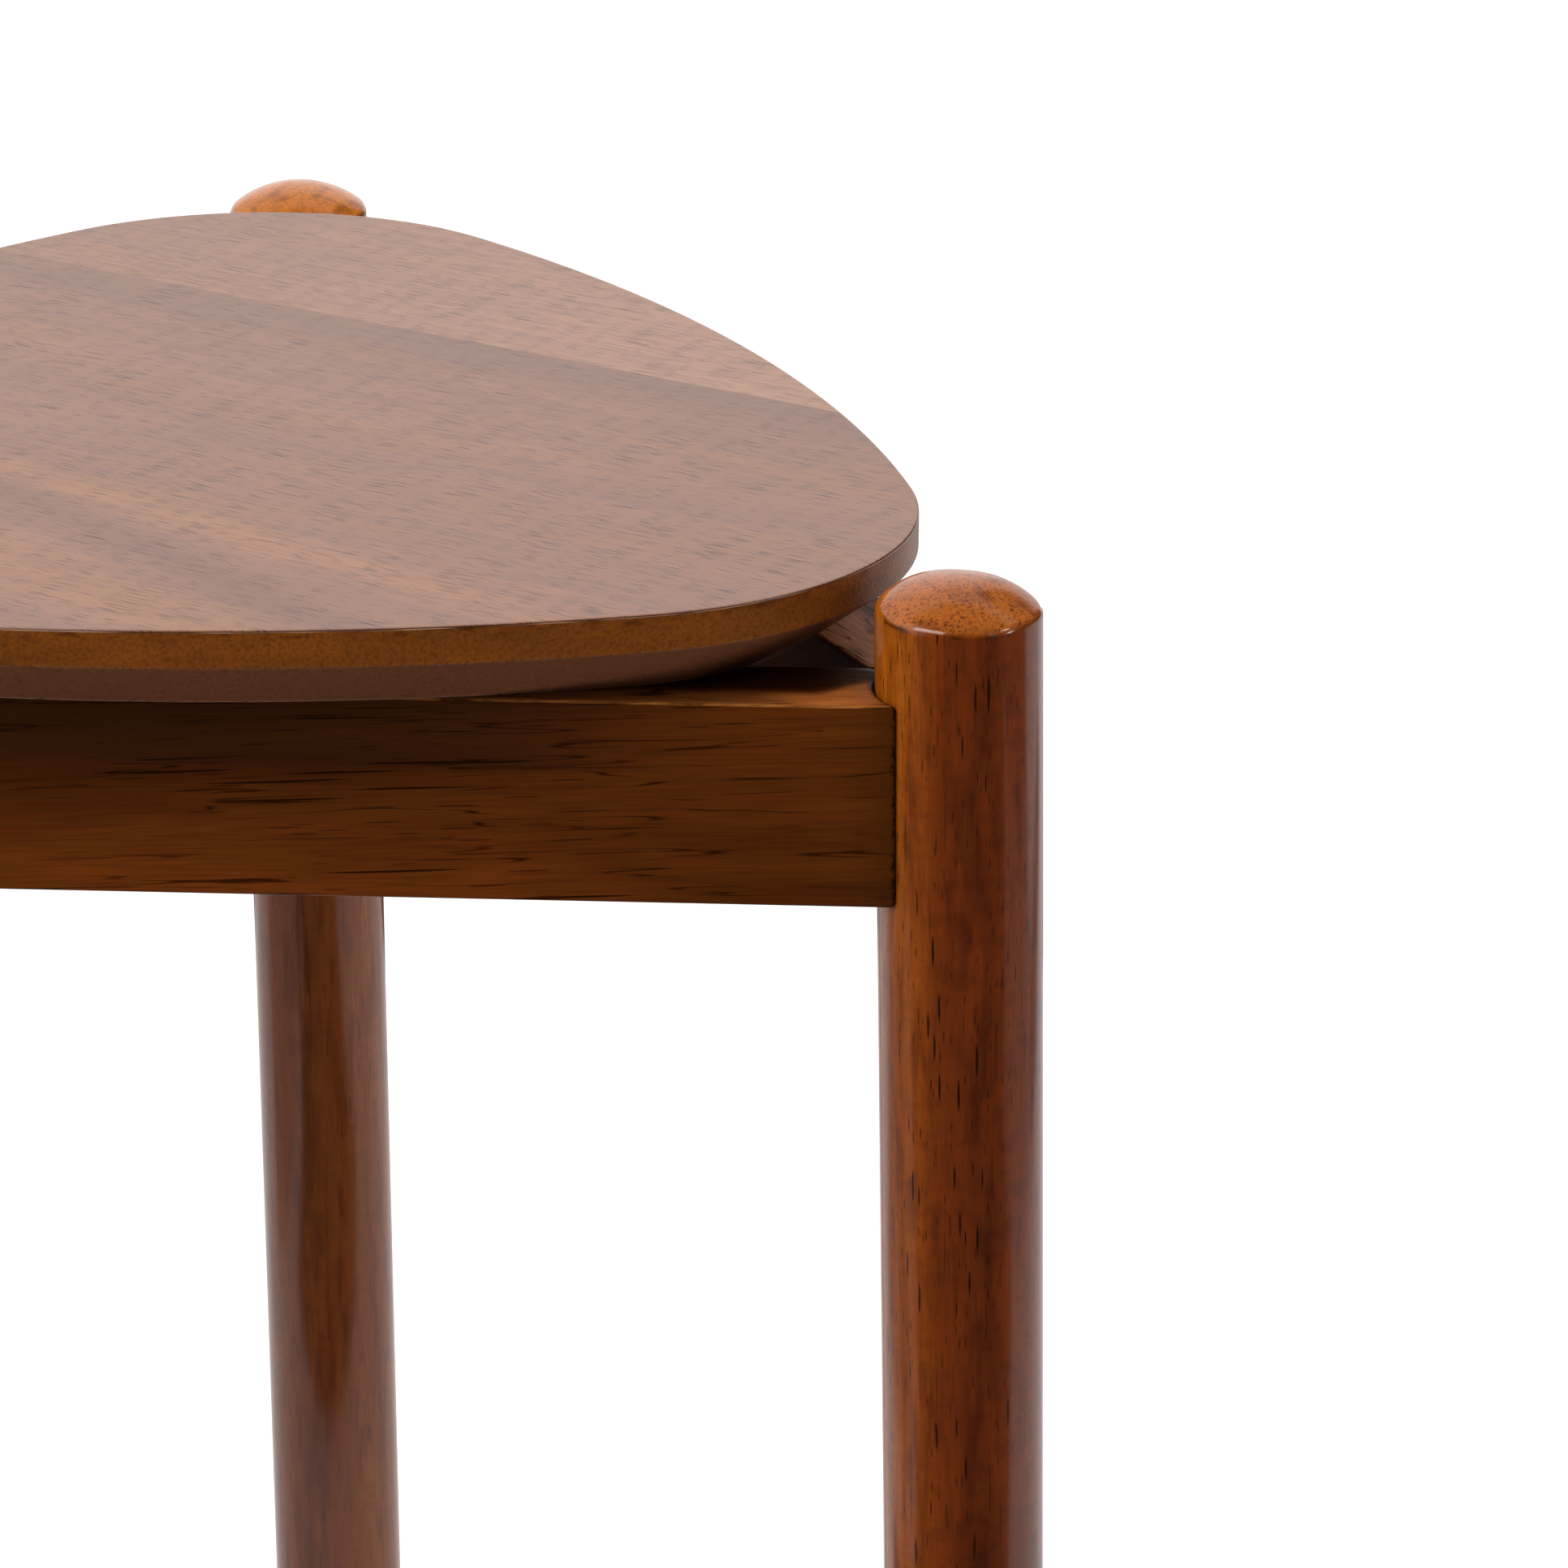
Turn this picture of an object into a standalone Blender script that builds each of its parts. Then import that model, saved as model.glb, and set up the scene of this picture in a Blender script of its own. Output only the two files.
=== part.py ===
"""Three-legged side table.

A bevelled, veneered board with a rounded-triangle outline sits on three rails. The rails are scribed round
three splayed round legs and mitred against each other behind them, and dowels hold each rail end in its leg.
The legs' domed heads stand a little above the table's surface. Steel angles hold the board to the rails.

Metres, +Z up. The origin is on the floor, under the middle of the table's bounding box.
"""
import math

import bmesh
import bpy
from mathutils import Vector

# Stance of the table
TABLE_HEIGHT = 0.500            # floor to the tips of the legs
LEG_CIRCLE_RADIUS = 0.2305      # table's axis to a leg's axis, level with the top of the rails
LEG_SPLAY = math.radians(1.4)   # lean of each leg, its foot outwards

# Legs, turned from round stock
LEG_DIAMETER = 0.040
HEAD_STRAIGHT = 0.0185          # straight part of a leg above the rails
HEAD_DOME_RISE = 0.0092         # dome above that straight part
HEAD_SHOULDER_RADIUS = 0.0035   # rounding between the straight part and the dome
FOOT_CHAMFER = 0.0010

# Rails between the legs
RAIL_HEIGHT = 0.0514
RAIL_THICKNESS = 0.0272
RAIL_SETOUT = 0.0146            # rail's outer face outside the line from leg axis to leg axis
RAIL_ARRIS = 0.0012             # rounding of the rail's long edges

# Board
TOP_THICKNESS = 0.0254
TOP_BAND_HEIGHT = 0.0094        # straight part of the board's edge
TOP_BEVEL_INSET = 0.0217        # how far the bevel runs in under the board
TOP_CORNER_RADIUS = 0.0828
TOP_SIDE_RADIUS = 0.460         # radius of the board's bowed sides
TOP_LEG_GAP = 0.0048            # daylight between the board's corner and the leg, at the board's face
TOP_ARRIS = 0.0006              # eased upper edge of the face veneer
VENEER_THICKNESS = 0.0006       # face veneer, and the balancing veneer underneath

# Joints between rails and legs
GLUE_GAP = 0.0003               # gap between a scribed or mitred face and its neighbour
SEAT_GAP = 0.0003               # gap between pieces that rest on each other
DOWEL_DIAMETER = 0.008
DOWEL_LENGTH = 0.034
DOWEL_DEPTH_IN_LEG = 0.0125     # dowel's length inside the leg
DOWEL_EDGE_MARGIN = 0.0100      # rail's edge to the nearest dowel's axis
DOWEL_CHAMFER = 0.0010
DOWEL_FLUTE_DEPTH = 0.0003
DOWEL_CLEARANCE = 0.0002        # gap round a dowel in its hole
DOWEL_END_ROOM = 0.0005         # room for glue past each end of a dowel

# Steel angles that hold the board
BRACKET_WIDTH = 0.040           # along the rail
BRACKET_FLANGE = 0.022          # each flange, from the outside of the bend
BRACKET_THICKNESS = 0.0020
BRACKET_BEND_RADIUS = 0.0020    # inside of the bend
BRACKET_CORNER_RADIUS = 0.0040
BRACKET_HOLE_DIAMETER = 0.0046
BRACKET_HOLE_SPACING = 0.022    # along the rail
BRACKET_HOLE_SETBACK = 0.0130   # from the outside of the bend

# Pan-head screws, without their thread
SCREW_LENGTH = 0.016            # under the head
SCREW_SHANK_DIAMETER = 0.0034
SCREW_POINT_LENGTH = 0.0040
SCREW_HEAD_DIAMETER = 0.0080
SCREW_HEAD_HEIGHT = 0.0024
SCREW_HEAD_RIM = 0.0010         # straight rim of the head, under its crown
SCREW_CLEARANCE = 0.0002        # gap round a shank in its pilot hole
SCREW_END_ROOM = 0.0005

# Nail-on glides
GLIDE_DIAMETER = 0.024
GLIDE_HEIGHT = 0.0045
GLIDE_ROUNDING = 0.0012
NAIL_LENGTH = 0.018             # under its head
NAIL_DIAMETER = 0.0026
NAIL_POINT_LENGTH = 0.0030
NAIL_HEAD_DIAMETER = 0.0080
NAIL_HEAD_THICKNESS = 0.0010
NAIL_COVER = 0.0014             # plastic under the nail's head
NAIL_CLEARANCE = 0.0002
NAIL_END_ROOM = 0.0005

CUT_OVERRUN = 0.002             # how far a cutter runs past the face that it starts from

# Counts of facets
LEG_SEGMENTS = 48
SCRIBE_STEPS = 9
SHOULDER_STEPS = 3
DOME_STEPS = 5
CORNER_STEPS = 16
SIDE_STEPS = 14
ARRIS_SEGMENTS = 2
BEND_STEPS = 4
CORNER_SEGMENTS = 3
GLIDE_ROUNDING_STEPS = 3
DOWEL_FLUTES = 10
HOLE_SEGMENTS = 16
SCREW_SEGMENTS = 12
GLIDE_SEGMENTS = 24

# Places that follow from the sizes above
LEG_RADIUS = LEG_DIAMETER / 2
RAIL_TOP = TABLE_HEIGHT - (HEAD_STRAIGHT + HEAD_DOME_RISE) * math.cos(LEG_SPLAY)
RAIL_LINE = LEG_CIRCLE_RADIUS * math.cos(math.radians(60))     # table's axis to the line between two legs
RAIL_HALF_SPAN = LEG_CIRCLE_RADIUS * math.sin(math.radians(60))    # middle of a rail to a leg's axis
RAIL_INSET = RAIL_THICKNESS - RAIL_SETOUT                      # rail's inner face inside that line
FOOT_CIRCLE_RADIUS = LEG_CIRCLE_RADIUS + RAIL_TOP * math.tan(LEG_SPLAY)
TOP_CORNER_REACH = (
    LEG_CIRCLE_RADIUS - TOP_THICKNESS * math.tan(LEG_SPLAY) - LEG_RADIUS / math.cos(LEG_SPLAY) - TOP_LEG_GAP
)
# A corner of the board is an arc round a point on the way to its leg. A side is an arc round a point behind
# the table's axis. They are tangent where those points lie one difference of radii apart.
TOP_CORNER_CENTRE = TOP_CORNER_REACH - TOP_CORNER_RADIUS
TOP_SIDE_SETBACK = (
    math.sqrt(4 * (TOP_SIDE_RADIUS - TOP_CORNER_RADIUS) ** 2 - 3 * TOP_CORNER_CENTRE ** 2) - TOP_CORNER_CENTRE
) / 2
TOP_SIDE_REACH = TOP_SIDE_RADIUS - TOP_SIDE_SETBACK
REACH_BACK = FOOT_CIRCLE_RADIUS + LEG_RADIUS / math.cos(LEG_SPLAY)
REACH_FRONT = max(TOP_SIDE_REACH, FOOT_CIRCLE_RADIUS / 2 + LEG_RADIUS)

LEG_ANGLES = {
    "front_right": math.radians(-30),
    "back": math.radians(90),
    "front_left": math.radians(210),
}
# Each rail by the direction that its outer face looks in, and the legs at its -X and +X ends
RAILS = {
    "front": (math.radians(-90), "front_right", "front_left"),
    "right": (math.radians(30), "back", "front_right"),
    "left": (math.radians(150), "front_left", "back"),
}


def clear_scene():
    for old in list(bpy.data.objects):
        bpy.data.objects.remove(old, do_unlink=True)


def finish_material(name, colour, roughness, metallic=0.0):
    """A Principled surface of one colour."""
    material = bpy.data.materials.new(name)
    material.use_nodes = True
    surface = material.node_tree.nodes["Principled BSDF"]
    surface.inputs["Base Color"].default_value = (*colour, 1.0)
    surface.inputs["Roughness"].default_value = roughness
    surface.inputs["Metallic"].default_value = metallic
    material.diffuse_color = (*colour, 1.0)
    return material


def walnut_veneer():
    return finish_material("walnut_veneer", (0.23, 0.13, 0.09), 0.45)


def painted_board():
    return finish_material("painted_board", (0.28, 0.17, 0.11), 0.50)


def backing_veneer():
    return finish_material("backing_veneer", (0.24, 0.15, 0.10), 0.60)


def stained_leg_wood():
    return finish_material("stained_leg_wood", (0.36, 0.15, 0.05), 0.35)


def stained_rail_wood():
    return finish_material("stained_rail_wood", (0.17, 0.07, 0.02), 0.40)


def dowel_beech():
    return finish_material("dowel_beech", (0.60, 0.42, 0.26), 0.60)


def zinc_plated_steel():
    return finish_material("zinc_plated_steel", (0.62, 0.62, 0.60), 0.35, 1.0)


def glide_nylon():
    return finish_material("glide_nylon", (0.10, 0.07, 0.05), 0.45)


def empty_at(name, parent, location=(0, 0, 0), rotation=(0, 0, 0)):
    """A frame of reference that pieces are parented to."""
    empty = bpy.data.objects.new(name, None)
    bpy.context.collection.objects.link(empty)
    empty.parent = parent
    empty.location = location
    empty.rotation_euler = rotation
    return empty


def add_piece(name, bm, parent, material=None, location=(0, 0, 0), rotation=(0, 0, 0)):
    """Turn a bmesh into a named object with one material, its round faces shaded smooth."""
    bmesh.ops.recalc_face_normals(bm, faces=bm.faces)
    mesh = bpy.data.meshes.new(name)
    bm.to_mesh(mesh)
    bm.free()
    mesh.shade_smooth()
    mesh.set_sharp_from_angle(angle=math.radians(30))
    piece = bpy.data.objects.new(name, mesh)
    bpy.context.collection.objects.link(piece)
    piece.parent = parent
    piece.location = location
    piece.rotation_euler = rotation
    if material is not None:
        mesh.materials.append(material)
    return piece


def add_cutter(name, bm, parent, location=(0, 0, 0), rotation=(0, 0, 0)):
    """A piece that only cuts others."""
    cutter = add_piece(name, bm, parent, None, location, rotation)
    cutter.hide_render = True
    cutter.display_type = "WIRE"
    return cutter


def cut(piece, cutter):
    """Take the cutter's volume out of the piece."""
    boolean = piece.modifiers.new(cutter.name, "BOOLEAN")
    boolean.operation = "DIFFERENCE"
    boolean.solver = "EXACT"
    boolean.object = cutter


def even_shading(pieces):
    """Let the large faces set the shading round the cuts."""
    for piece in pieces:
        piece.modifiers.new("even_shading", "WEIGHTED_NORMAL").keep_sharp = True


def polar(radius, angle, height=0.0):
    return Vector((radius * math.cos(angle), radius * math.sin(angle), height))


def circle(radius, segments):
    """Points of a circle round Z, the first one on +X."""
    return [polar(radius, math.tau * i / segments) for i in range(segments)]


def loft(rings):
    """Closed body through a row of rings of equally many points.

    A ring of one point closes that end to a tip. A longer end ring gets a flat cap.
    """
    bm = bmesh.new()
    rings = [[bm.verts.new(point) for point in ring] for ring in rings]
    for lower, upper in zip(rings, rings[1:]):
        count = max(len(lower), len(upper))
        for i in range(count):
            corners = [lower[i % len(lower)], lower[(i + 1) % len(lower)]]
            corners += [upper[(i + 1) % len(upper)], upper[i % len(upper)]]
            bm.faces.new(list(dict.fromkeys(corners)))
    for end in (rings[0], rings[-1]):
        if len(end) > 1:
            bm.faces.new(end)
    return bm


def turned(profile, segments):
    """Body turned round Z through (radius, height) points. A radius of zero is a tip."""
    rings = []
    for radius, height in profile:
        if radius == 0:
            rings.append([Vector((0, 0, height))])
        else:
            rings.append([Vector((p.x, p.y, height)) for p in circle(radius, segments)])
    return loft(rings)


def round_bar(radius, start, end, segments):
    """Plain round bar along Z, used as a cutter."""
    return turned([(radius, start), (radius, end)], segments)


def head_profile():
    """Outline of a leg's head from the shoulder to the tip, with heights from the top of the rails.

    The shoulder is an arc that leaves the straight side upright. The dome is a sphere tangent to that arc,
    with its tip on the leg's axis, which sets the sphere's radius.
    """
    arc_x = LEG_RADIUS - HEAD_SHOULDER_RADIUS
    dome_radius = (arc_x ** 2 + HEAD_DOME_RISE ** 2 - HEAD_SHOULDER_RADIUS ** 2) / (
        2 * (HEAD_DOME_RISE - HEAD_SHOULDER_RADIUS)
    )
    tip = HEAD_STRAIGHT + HEAD_DOME_RISE
    dome_centre = tip - dome_radius
    tangent = math.atan2(HEAD_STRAIGHT - dome_centre, arc_x)
    points = []
    for i in range(SHOULDER_STEPS + 1):
        angle = tangent * i / SHOULDER_STEPS
        x = arc_x + HEAD_SHOULDER_RADIUS * math.cos(angle)
        points.append((x, HEAD_STRAIGHT + HEAD_SHOULDER_RADIUS * math.sin(angle)))
    for i in range(1, DOME_STEPS):
        angle = tangent + (math.pi / 2 - tangent) * i / DOME_STEPS
        points.append((dome_radius * math.cos(angle), dome_centre + dome_radius * math.sin(angle)))
    points.append((0, tip))
    return points


def leg_body():
    """Turned leg, with Z along its axis, +X away from the table and zero level with the top of the rails.

    The foot is sawn level with the floor, so its two rings lean by the splay.
    """
    foot = (GLIDE_HEIGHT + SEAT_GAP - RAIL_TOP) / math.cos(LEG_SPLAY)
    lean = math.tan(LEG_SPLAY)
    rings = []
    for radius, rise in ((LEG_RADIUS - FOOT_CHAMFER, 0), (LEG_RADIUS, FOOT_CHAMFER)):
        ring = circle(radius, LEG_SEGMENTS)
        rings.append([Vector((p.x, p.y, foot + rise - p.x * lean)) for p in ring])
    below_rail = (LEG_RADIUS, -RAIL_HEIGHT - CUT_OVERRUN)
    for radius, height in [below_rail] + head_profile():
        if radius == 0:
            rings.append([Vector((0, 0, height))])
        else:
            rings.append([Vector((p.x, p.y, height)) for p in circle(radius, LEG_SEGMENTS)])
    return loft(rings)


def make_leg(name, leg_frame, material):
    return add_piece("leg_" + name, leg_body(), leg_frame, material)


def rail_outline(drop):
    """Outline of a rail seen from above, at a depth below its upper face.

    +X runs along the rail and +Y away from the table. Each end is scribed to its leg, which leans outwards
    with depth, along an arc a glue gap wider than the leg. Behind the leg it is mitred to the plane through
    the table's axis and the leg's axis, half a glue gap short of it.
    """
    scribe = LEG_RADIUS / math.cos(LEG_SPLAY) + GLUE_GAP
    leg_reach = LEG_CIRCLE_RADIUS + drop * math.tan(LEG_SPLAY)
    centre = polar(leg_reach, math.radians(30)) - Vector((0, RAIL_LINE, 0))
    to_axis = math.radians(210)
    outer_angle = math.radians(180) - math.asin((RAIL_SETOUT - centre.y) / scribe)
    mitre_angle = to_axis - math.asin(GLUE_GAP / 2 / scribe)
    inner_angle = math.radians(180) + math.asin(min(1, (RAIL_INSET + centre.y) / scribe))
    last_angle = min(mitre_angle, inner_angle)
    end = []
    for i in range(SCRIBE_STEPS + 1):
        angle = outer_angle + (last_angle - outer_angle) * i / SCRIBE_STEPS
        end.append(centre + polar(scribe, angle))
    if mitre_angle < inner_angle:
        mitre_length = (end[-1].y + RAIL_INSET) / math.sin(to_axis - math.radians(180))
        end.append(end[-1] + polar(mitre_length, to_axis))
    other_end = [Vector((-point.x, point.y, 0)) for point in reversed(end)]
    return [Vector((point.x, point.y, -drop)) for point in end + other_end]


def rail_body():
    """Rail with its upper face at zero, its long edges and the thin edges at the legs rounded."""
    bm = loft([rail_outline(RAIL_HEIGHT), rail_outline(0)])
    faces_y = (RAIL_SETOUT, -RAIL_INSET)
    eased = [
        edge
        for edge in bm.edges
        if any(all(abs(vert.co.y - y) < RAIL_ARRIS / 10 for vert in edge.verts) for y in faces_y)
    ]
    bmesh.ops.bevel(
        bm, geom=eased, offset=RAIL_ARRIS, segments=ARRIS_SEGMENTS, profile=0.5, affect="EDGES"
    )
    return bm


def make_rail(name, rail_frame, material):
    return add_piece("rail_" + name, rail_body(), rail_frame, material)


def board_outline(inset, height):
    """Rounded triangle of six tangent arcs, set in all round by one distance.

    Every arc keeps its centre and loses the inset from its radius.
    """
    third = math.radians(120)
    tangent = math.atan2(
        TOP_SIDE_SETBACK * math.sin(third / 2), TOP_CORNER_CENTRE + TOP_SIDE_SETBACK * math.cos(third / 2)
    )
    points = []
    for towards_leg in LEG_ANGLES.values():
        centre = polar(TOP_CORNER_CENTRE, towards_leg, height)
        for i in range(CORNER_STEPS):
            angle = towards_leg - tangent + 2 * tangent * i / CORNER_STEPS
            points.append(centre + polar(TOP_CORNER_RADIUS - inset, angle))
        centre = polar(-TOP_SIDE_SETBACK, towards_leg + third / 2, height)
        for i in range(SIDE_STEPS):
            angle = towards_leg + tangent + (third - 2 * tangent) * i / SIDE_STEPS
            points.append(centre + polar(TOP_SIDE_RADIUS - inset, angle))
    return points


def bevel_inset(height):
    """Inset of the bevelled part of the board's edge at a height above its underside."""
    return TOP_BEVEL_INSET * (1 - height / (TOP_THICKNESS - TOP_BAND_HEIGHT))


def make_top_core(top_frame, material):
    """Fibreboard core: straight band, and the bevel that thins the edge."""
    levels = (
        (bevel_inset(VENEER_THICKNESS), VENEER_THICKNESS),
        (0, TOP_THICKNESS - TOP_BAND_HEIGHT),
        (0, TOP_THICKNESS - VENEER_THICKNESS),
    )
    return add_piece("top_core", loft([board_outline(*level) for level in levels]), top_frame, material)


def make_top_veneer(top_frame, material):
    """Face veneer, with its upper edge eased."""
    levels = (
        (0, TOP_THICKNESS - VENEER_THICKNESS),
        (0, TOP_THICKNESS - TOP_ARRIS / 2),
        (TOP_ARRIS / 2, TOP_THICKNESS),
    )
    return add_piece("top_veneer", loft([board_outline(*level) for level in levels]), top_frame, material)


def make_top_backing(top_frame, material):
    """Balancing veneer on the flat underside."""
    levels = ((TOP_BEVEL_INSET, 0), (bevel_inset(VENEER_THICKNESS), VENEER_THICKNESS))
    return add_piece("top_backing", loft([board_outline(*level) for level in levels]), top_frame, material)


def dowel_heights(end):
    """Heights of the two dowels at one end of a rail.

    The four dowels that meet in a leg are stepped in height, so that those of one rail pass between those of
    the other.
    """
    step = (RAIL_HEIGHT - 2 * DOWEL_EDGE_MARGIN) / 3
    lowest = DOWEL_EDGE_MARGIN - RAIL_HEIGHT + (step if end > 0 else 0)
    return {"lower": lowest, "upper": lowest + 2 * step}


def dowel_body():
    """Fluted dowel along Z, its middle at zero, with chamfered ends."""
    points = 2 * DOWEL_FLUTES
    radius = DOWEL_DIAMETER / 2
    rings = []
    for height, chamfer in (
        (-DOWEL_LENGTH / 2, DOWEL_CHAMFER),
        (DOWEL_CHAMFER - DOWEL_LENGTH / 2, 0),
        (DOWEL_LENGTH / 2 - DOWEL_CHAMFER, 0),
        (DOWEL_LENGTH / 2, DOWEL_CHAMFER),
    ):
        ring = []
        for i in range(points):
            flute = DOWEL_FLUTE_DEPTH * (i % 2)
            ring.append(polar(radius - chamfer - flute, math.tau * i / points, height))
        rings.append(ring)
    return loft(rings)


def make_dowels(rail_name, rail_frame, material):
    """The four dowels of a rail, and the cutters for their holes, by the leg that they enter."""
    holes = {leg_name: [] for leg_name in LEG_ANGLES}
    middle_y = (RAIL_SETOUT - RAIL_INSET) / 2
    inner_end = RAIL_HALF_SPAN - LEG_RADIUS + DOWEL_DEPTH_IN_LEG
    for end, leg_name in zip((-1, 1), RAILS[rail_name][1:]):
        for level, height in dowel_heights(end).items():
            place = (end * (inner_end - DOWEL_LENGTH / 2), middle_y, height)
            turn = (0, math.radians(90), 0)
            name = f"dowel_{rail_name}_rail_{leg_name}_leg_{level}"
            add_piece(name, dowel_body(), rail_frame, material, place, turn)
            reach = DOWEL_LENGTH / 2 + DOWEL_END_ROOM
            hole = round_bar(DOWEL_DIAMETER / 2 + DOWEL_CLEARANCE, -reach, reach, HOLE_SEGMENTS)
            holes[leg_name].append(add_cutter("hole_" + name, hole, rail_frame, place, turn))
    return holes


def bracket_body():
    """Steel angle: +X along the rail, one flange under the board and one down the rail's inner face.

    The outside of the bend is at zero, the flanges run to -Y and to -Z.
    """
    outer = BRACKET_BEND_RADIUS + BRACKET_THICKNESS
    bend_centre = Vector((0, -outer, -outer))
    bend = [math.radians(90) * i / BEND_STEPS for i in range(BEND_STEPS + 1)]
    profile = [Vector((0, -BRACKET_FLANGE, 0)), Vector((0, -BRACKET_FLANGE, -BRACKET_THICKNESS))]
    for angle in reversed(bend):
        profile.append(bend_centre + BRACKET_BEND_RADIUS * Vector((0, math.cos(angle), math.sin(angle))))
    profile += [Vector((0, -BRACKET_THICKNESS, -BRACKET_FLANGE)), Vector((0, 0, -BRACKET_FLANGE))]
    for angle in bend:
        profile.append(bend_centre + outer * Vector((0, math.cos(angle), math.sin(angle))))
    half = Vector((BRACKET_WIDTH / 2, 0, 0))
    bm = loft([[point - half for point in profile], [point + half for point in profile]])
    corners = [
        edge
        for edge in bm.edges
        if abs(edge.verts[0].co.x) == abs(edge.verts[1].co.x)
        and edge.calc_length() < BRACKET_THICKNESS * 1.01
        and min(edge.verts[0].co.y + edge.verts[0].co.z, edge.verts[1].co.y + edge.verts[1].co.z)
        < -BRACKET_FLANGE
    ]
    bmesh.ops.bevel(
        bm, geom=corners, offset=BRACKET_CORNER_RADIUS, segments=CORNER_SEGMENTS, profile=0.5, affect="EDGES"
    )
    return bm


def screw_body():
    """Pan-head screw along Z, its point up and the underside of its head at zero."""
    head = SCREW_HEAD_DIAMETER / 2
    shank = SCREW_SHANK_DIAMETER / 2
    crown = SCREW_HEAD_HEIGHT - SCREW_HEAD_RIM
    profile = [
        (0, -SCREW_HEAD_HEIGHT),
        (head * math.sin(math.radians(45)), -SCREW_HEAD_RIM - crown * math.cos(math.radians(45))),
        (head, -SCREW_HEAD_RIM),
        (head, 0),
        (shank, 0),
        (shank, SCREW_LENGTH - SCREW_POINT_LENGTH),
        (0, SCREW_LENGTH),
    ]
    return turned(profile, SCREW_SEGMENTS)


def make_bracket(rail_name, rail_frame, steel):
    """A bracket at the middle of a rail with its four screws, and the cutters for their pilot holes."""
    inner_face = -RAIL_INSET - SEAT_GAP
    corner = Vector((0, inner_face, 0))
    bracket = add_piece("bracket_" + rail_name, bracket_body(), rail_frame, steel, corner)
    pilots = {"top": [], "rail": []}
    under_flange = BRACKET_THICKNESS + SEAT_GAP
    flanges = {
        "top": (Vector((0, -BRACKET_HOLE_SETBACK, -under_flange)), (0, 0, 0)),
        "rail": (Vector((0, -under_flange, -BRACKET_HOLE_SETBACK)), (-math.radians(90), 0, 0)),
    }
    for flange, (offset, turn) in flanges.items():
        for number, side in enumerate((-1, 1), 1):
            place = corner + offset + Vector((side * BRACKET_HOLE_SPACING / 2, 0, 0))
            name = f"screw_{rail_name}_bracket_{flange}_{number}"
            add_piece(name, screw_body(), rail_frame, steel, place, turn)
            through = round_bar(
                BRACKET_HOLE_DIAMETER / 2, -CUT_OVERRUN, BRACKET_THICKNESS + CUT_OVERRUN, HOLE_SEGMENTS
            )
            cut(bracket, add_cutter("through_" + name, through, rail_frame, place, turn))
            pilot = round_bar(
                SCREW_SHANK_DIAMETER / 2 + SCREW_CLEARANCE,
                BRACKET_THICKNESS / 2,
                SCREW_LENGTH + SCREW_END_ROOM,
                HOLE_SEGMENTS,
            )
            pilots[flange].append(add_cutter("pilot_" + name, pilot, rail_frame, place, turn))
    return pilots


def glide_pad_body():
    """Plastic pad, zero on the floor, moulded round the nail's head with a hole for its shank."""
    radius = GLIDE_DIAMETER / 2
    shank = NAIL_DIAMETER / 2 + NAIL_CLEARANCE
    head = NAIL_HEAD_DIAMETER / 2 + NAIL_CLEARANCE
    pocket = NAIL_COVER - NAIL_CLEARANCE
    pocket_top = NAIL_COVER + NAIL_HEAD_THICKNESS + NAIL_CLEARANCE
    profile = [(radius - GLIDE_ROUNDING, 0)]
    for i in range(1, GLIDE_ROUNDING_STEPS + 1):
        angle = math.radians(90) * i / GLIDE_ROUNDING_STEPS
        x = radius - GLIDE_ROUNDING + GLIDE_ROUNDING * math.sin(angle)
        profile.append((x, GLIDE_ROUNDING * (1 - math.cos(angle))))
    profile += [
        (radius, GLIDE_HEIGHT),
        (shank, GLIDE_HEIGHT),
        (shank, pocket_top),
        (head, pocket_top),
        (head, pocket),
    ]
    return turned(profile, GLIDE_SEGMENTS)


def nail_body():
    """Nail along Z, its point up and the underside of its head at zero."""
    head = NAIL_HEAD_DIAMETER / 2
    shank = NAIL_DIAMETER / 2
    profile = [
        (head, -NAIL_HEAD_THICKNESS),
        (head, 0),
        (shank, 0),
        (shank, NAIL_LENGTH - NAIL_POINT_LENGTH),
        (0, NAIL_LENGTH),
    ]
    return turned(profile, SCREW_SEGMENTS)


def make_glide(leg_name, foot_frame, nylon, steel):
    """A glide and its nail, and the cutter for the nail's hole in the leg."""
    add_piece("glide_pad_" + leg_name, glide_pad_body(), foot_frame, nylon)
    place = (0, 0, NAIL_COVER + NAIL_HEAD_THICKNESS)
    add_piece("glide_nail_" + leg_name, nail_body(), foot_frame, steel, place)
    hole = round_bar(NAIL_DIAMETER / 2 + NAIL_CLEARANCE, 0, NAIL_LENGTH + NAIL_END_ROOM, HOLE_SEGMENTS)
    return add_cutter("hole_nail_" + leg_name, hole, foot_frame, place)


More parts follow.
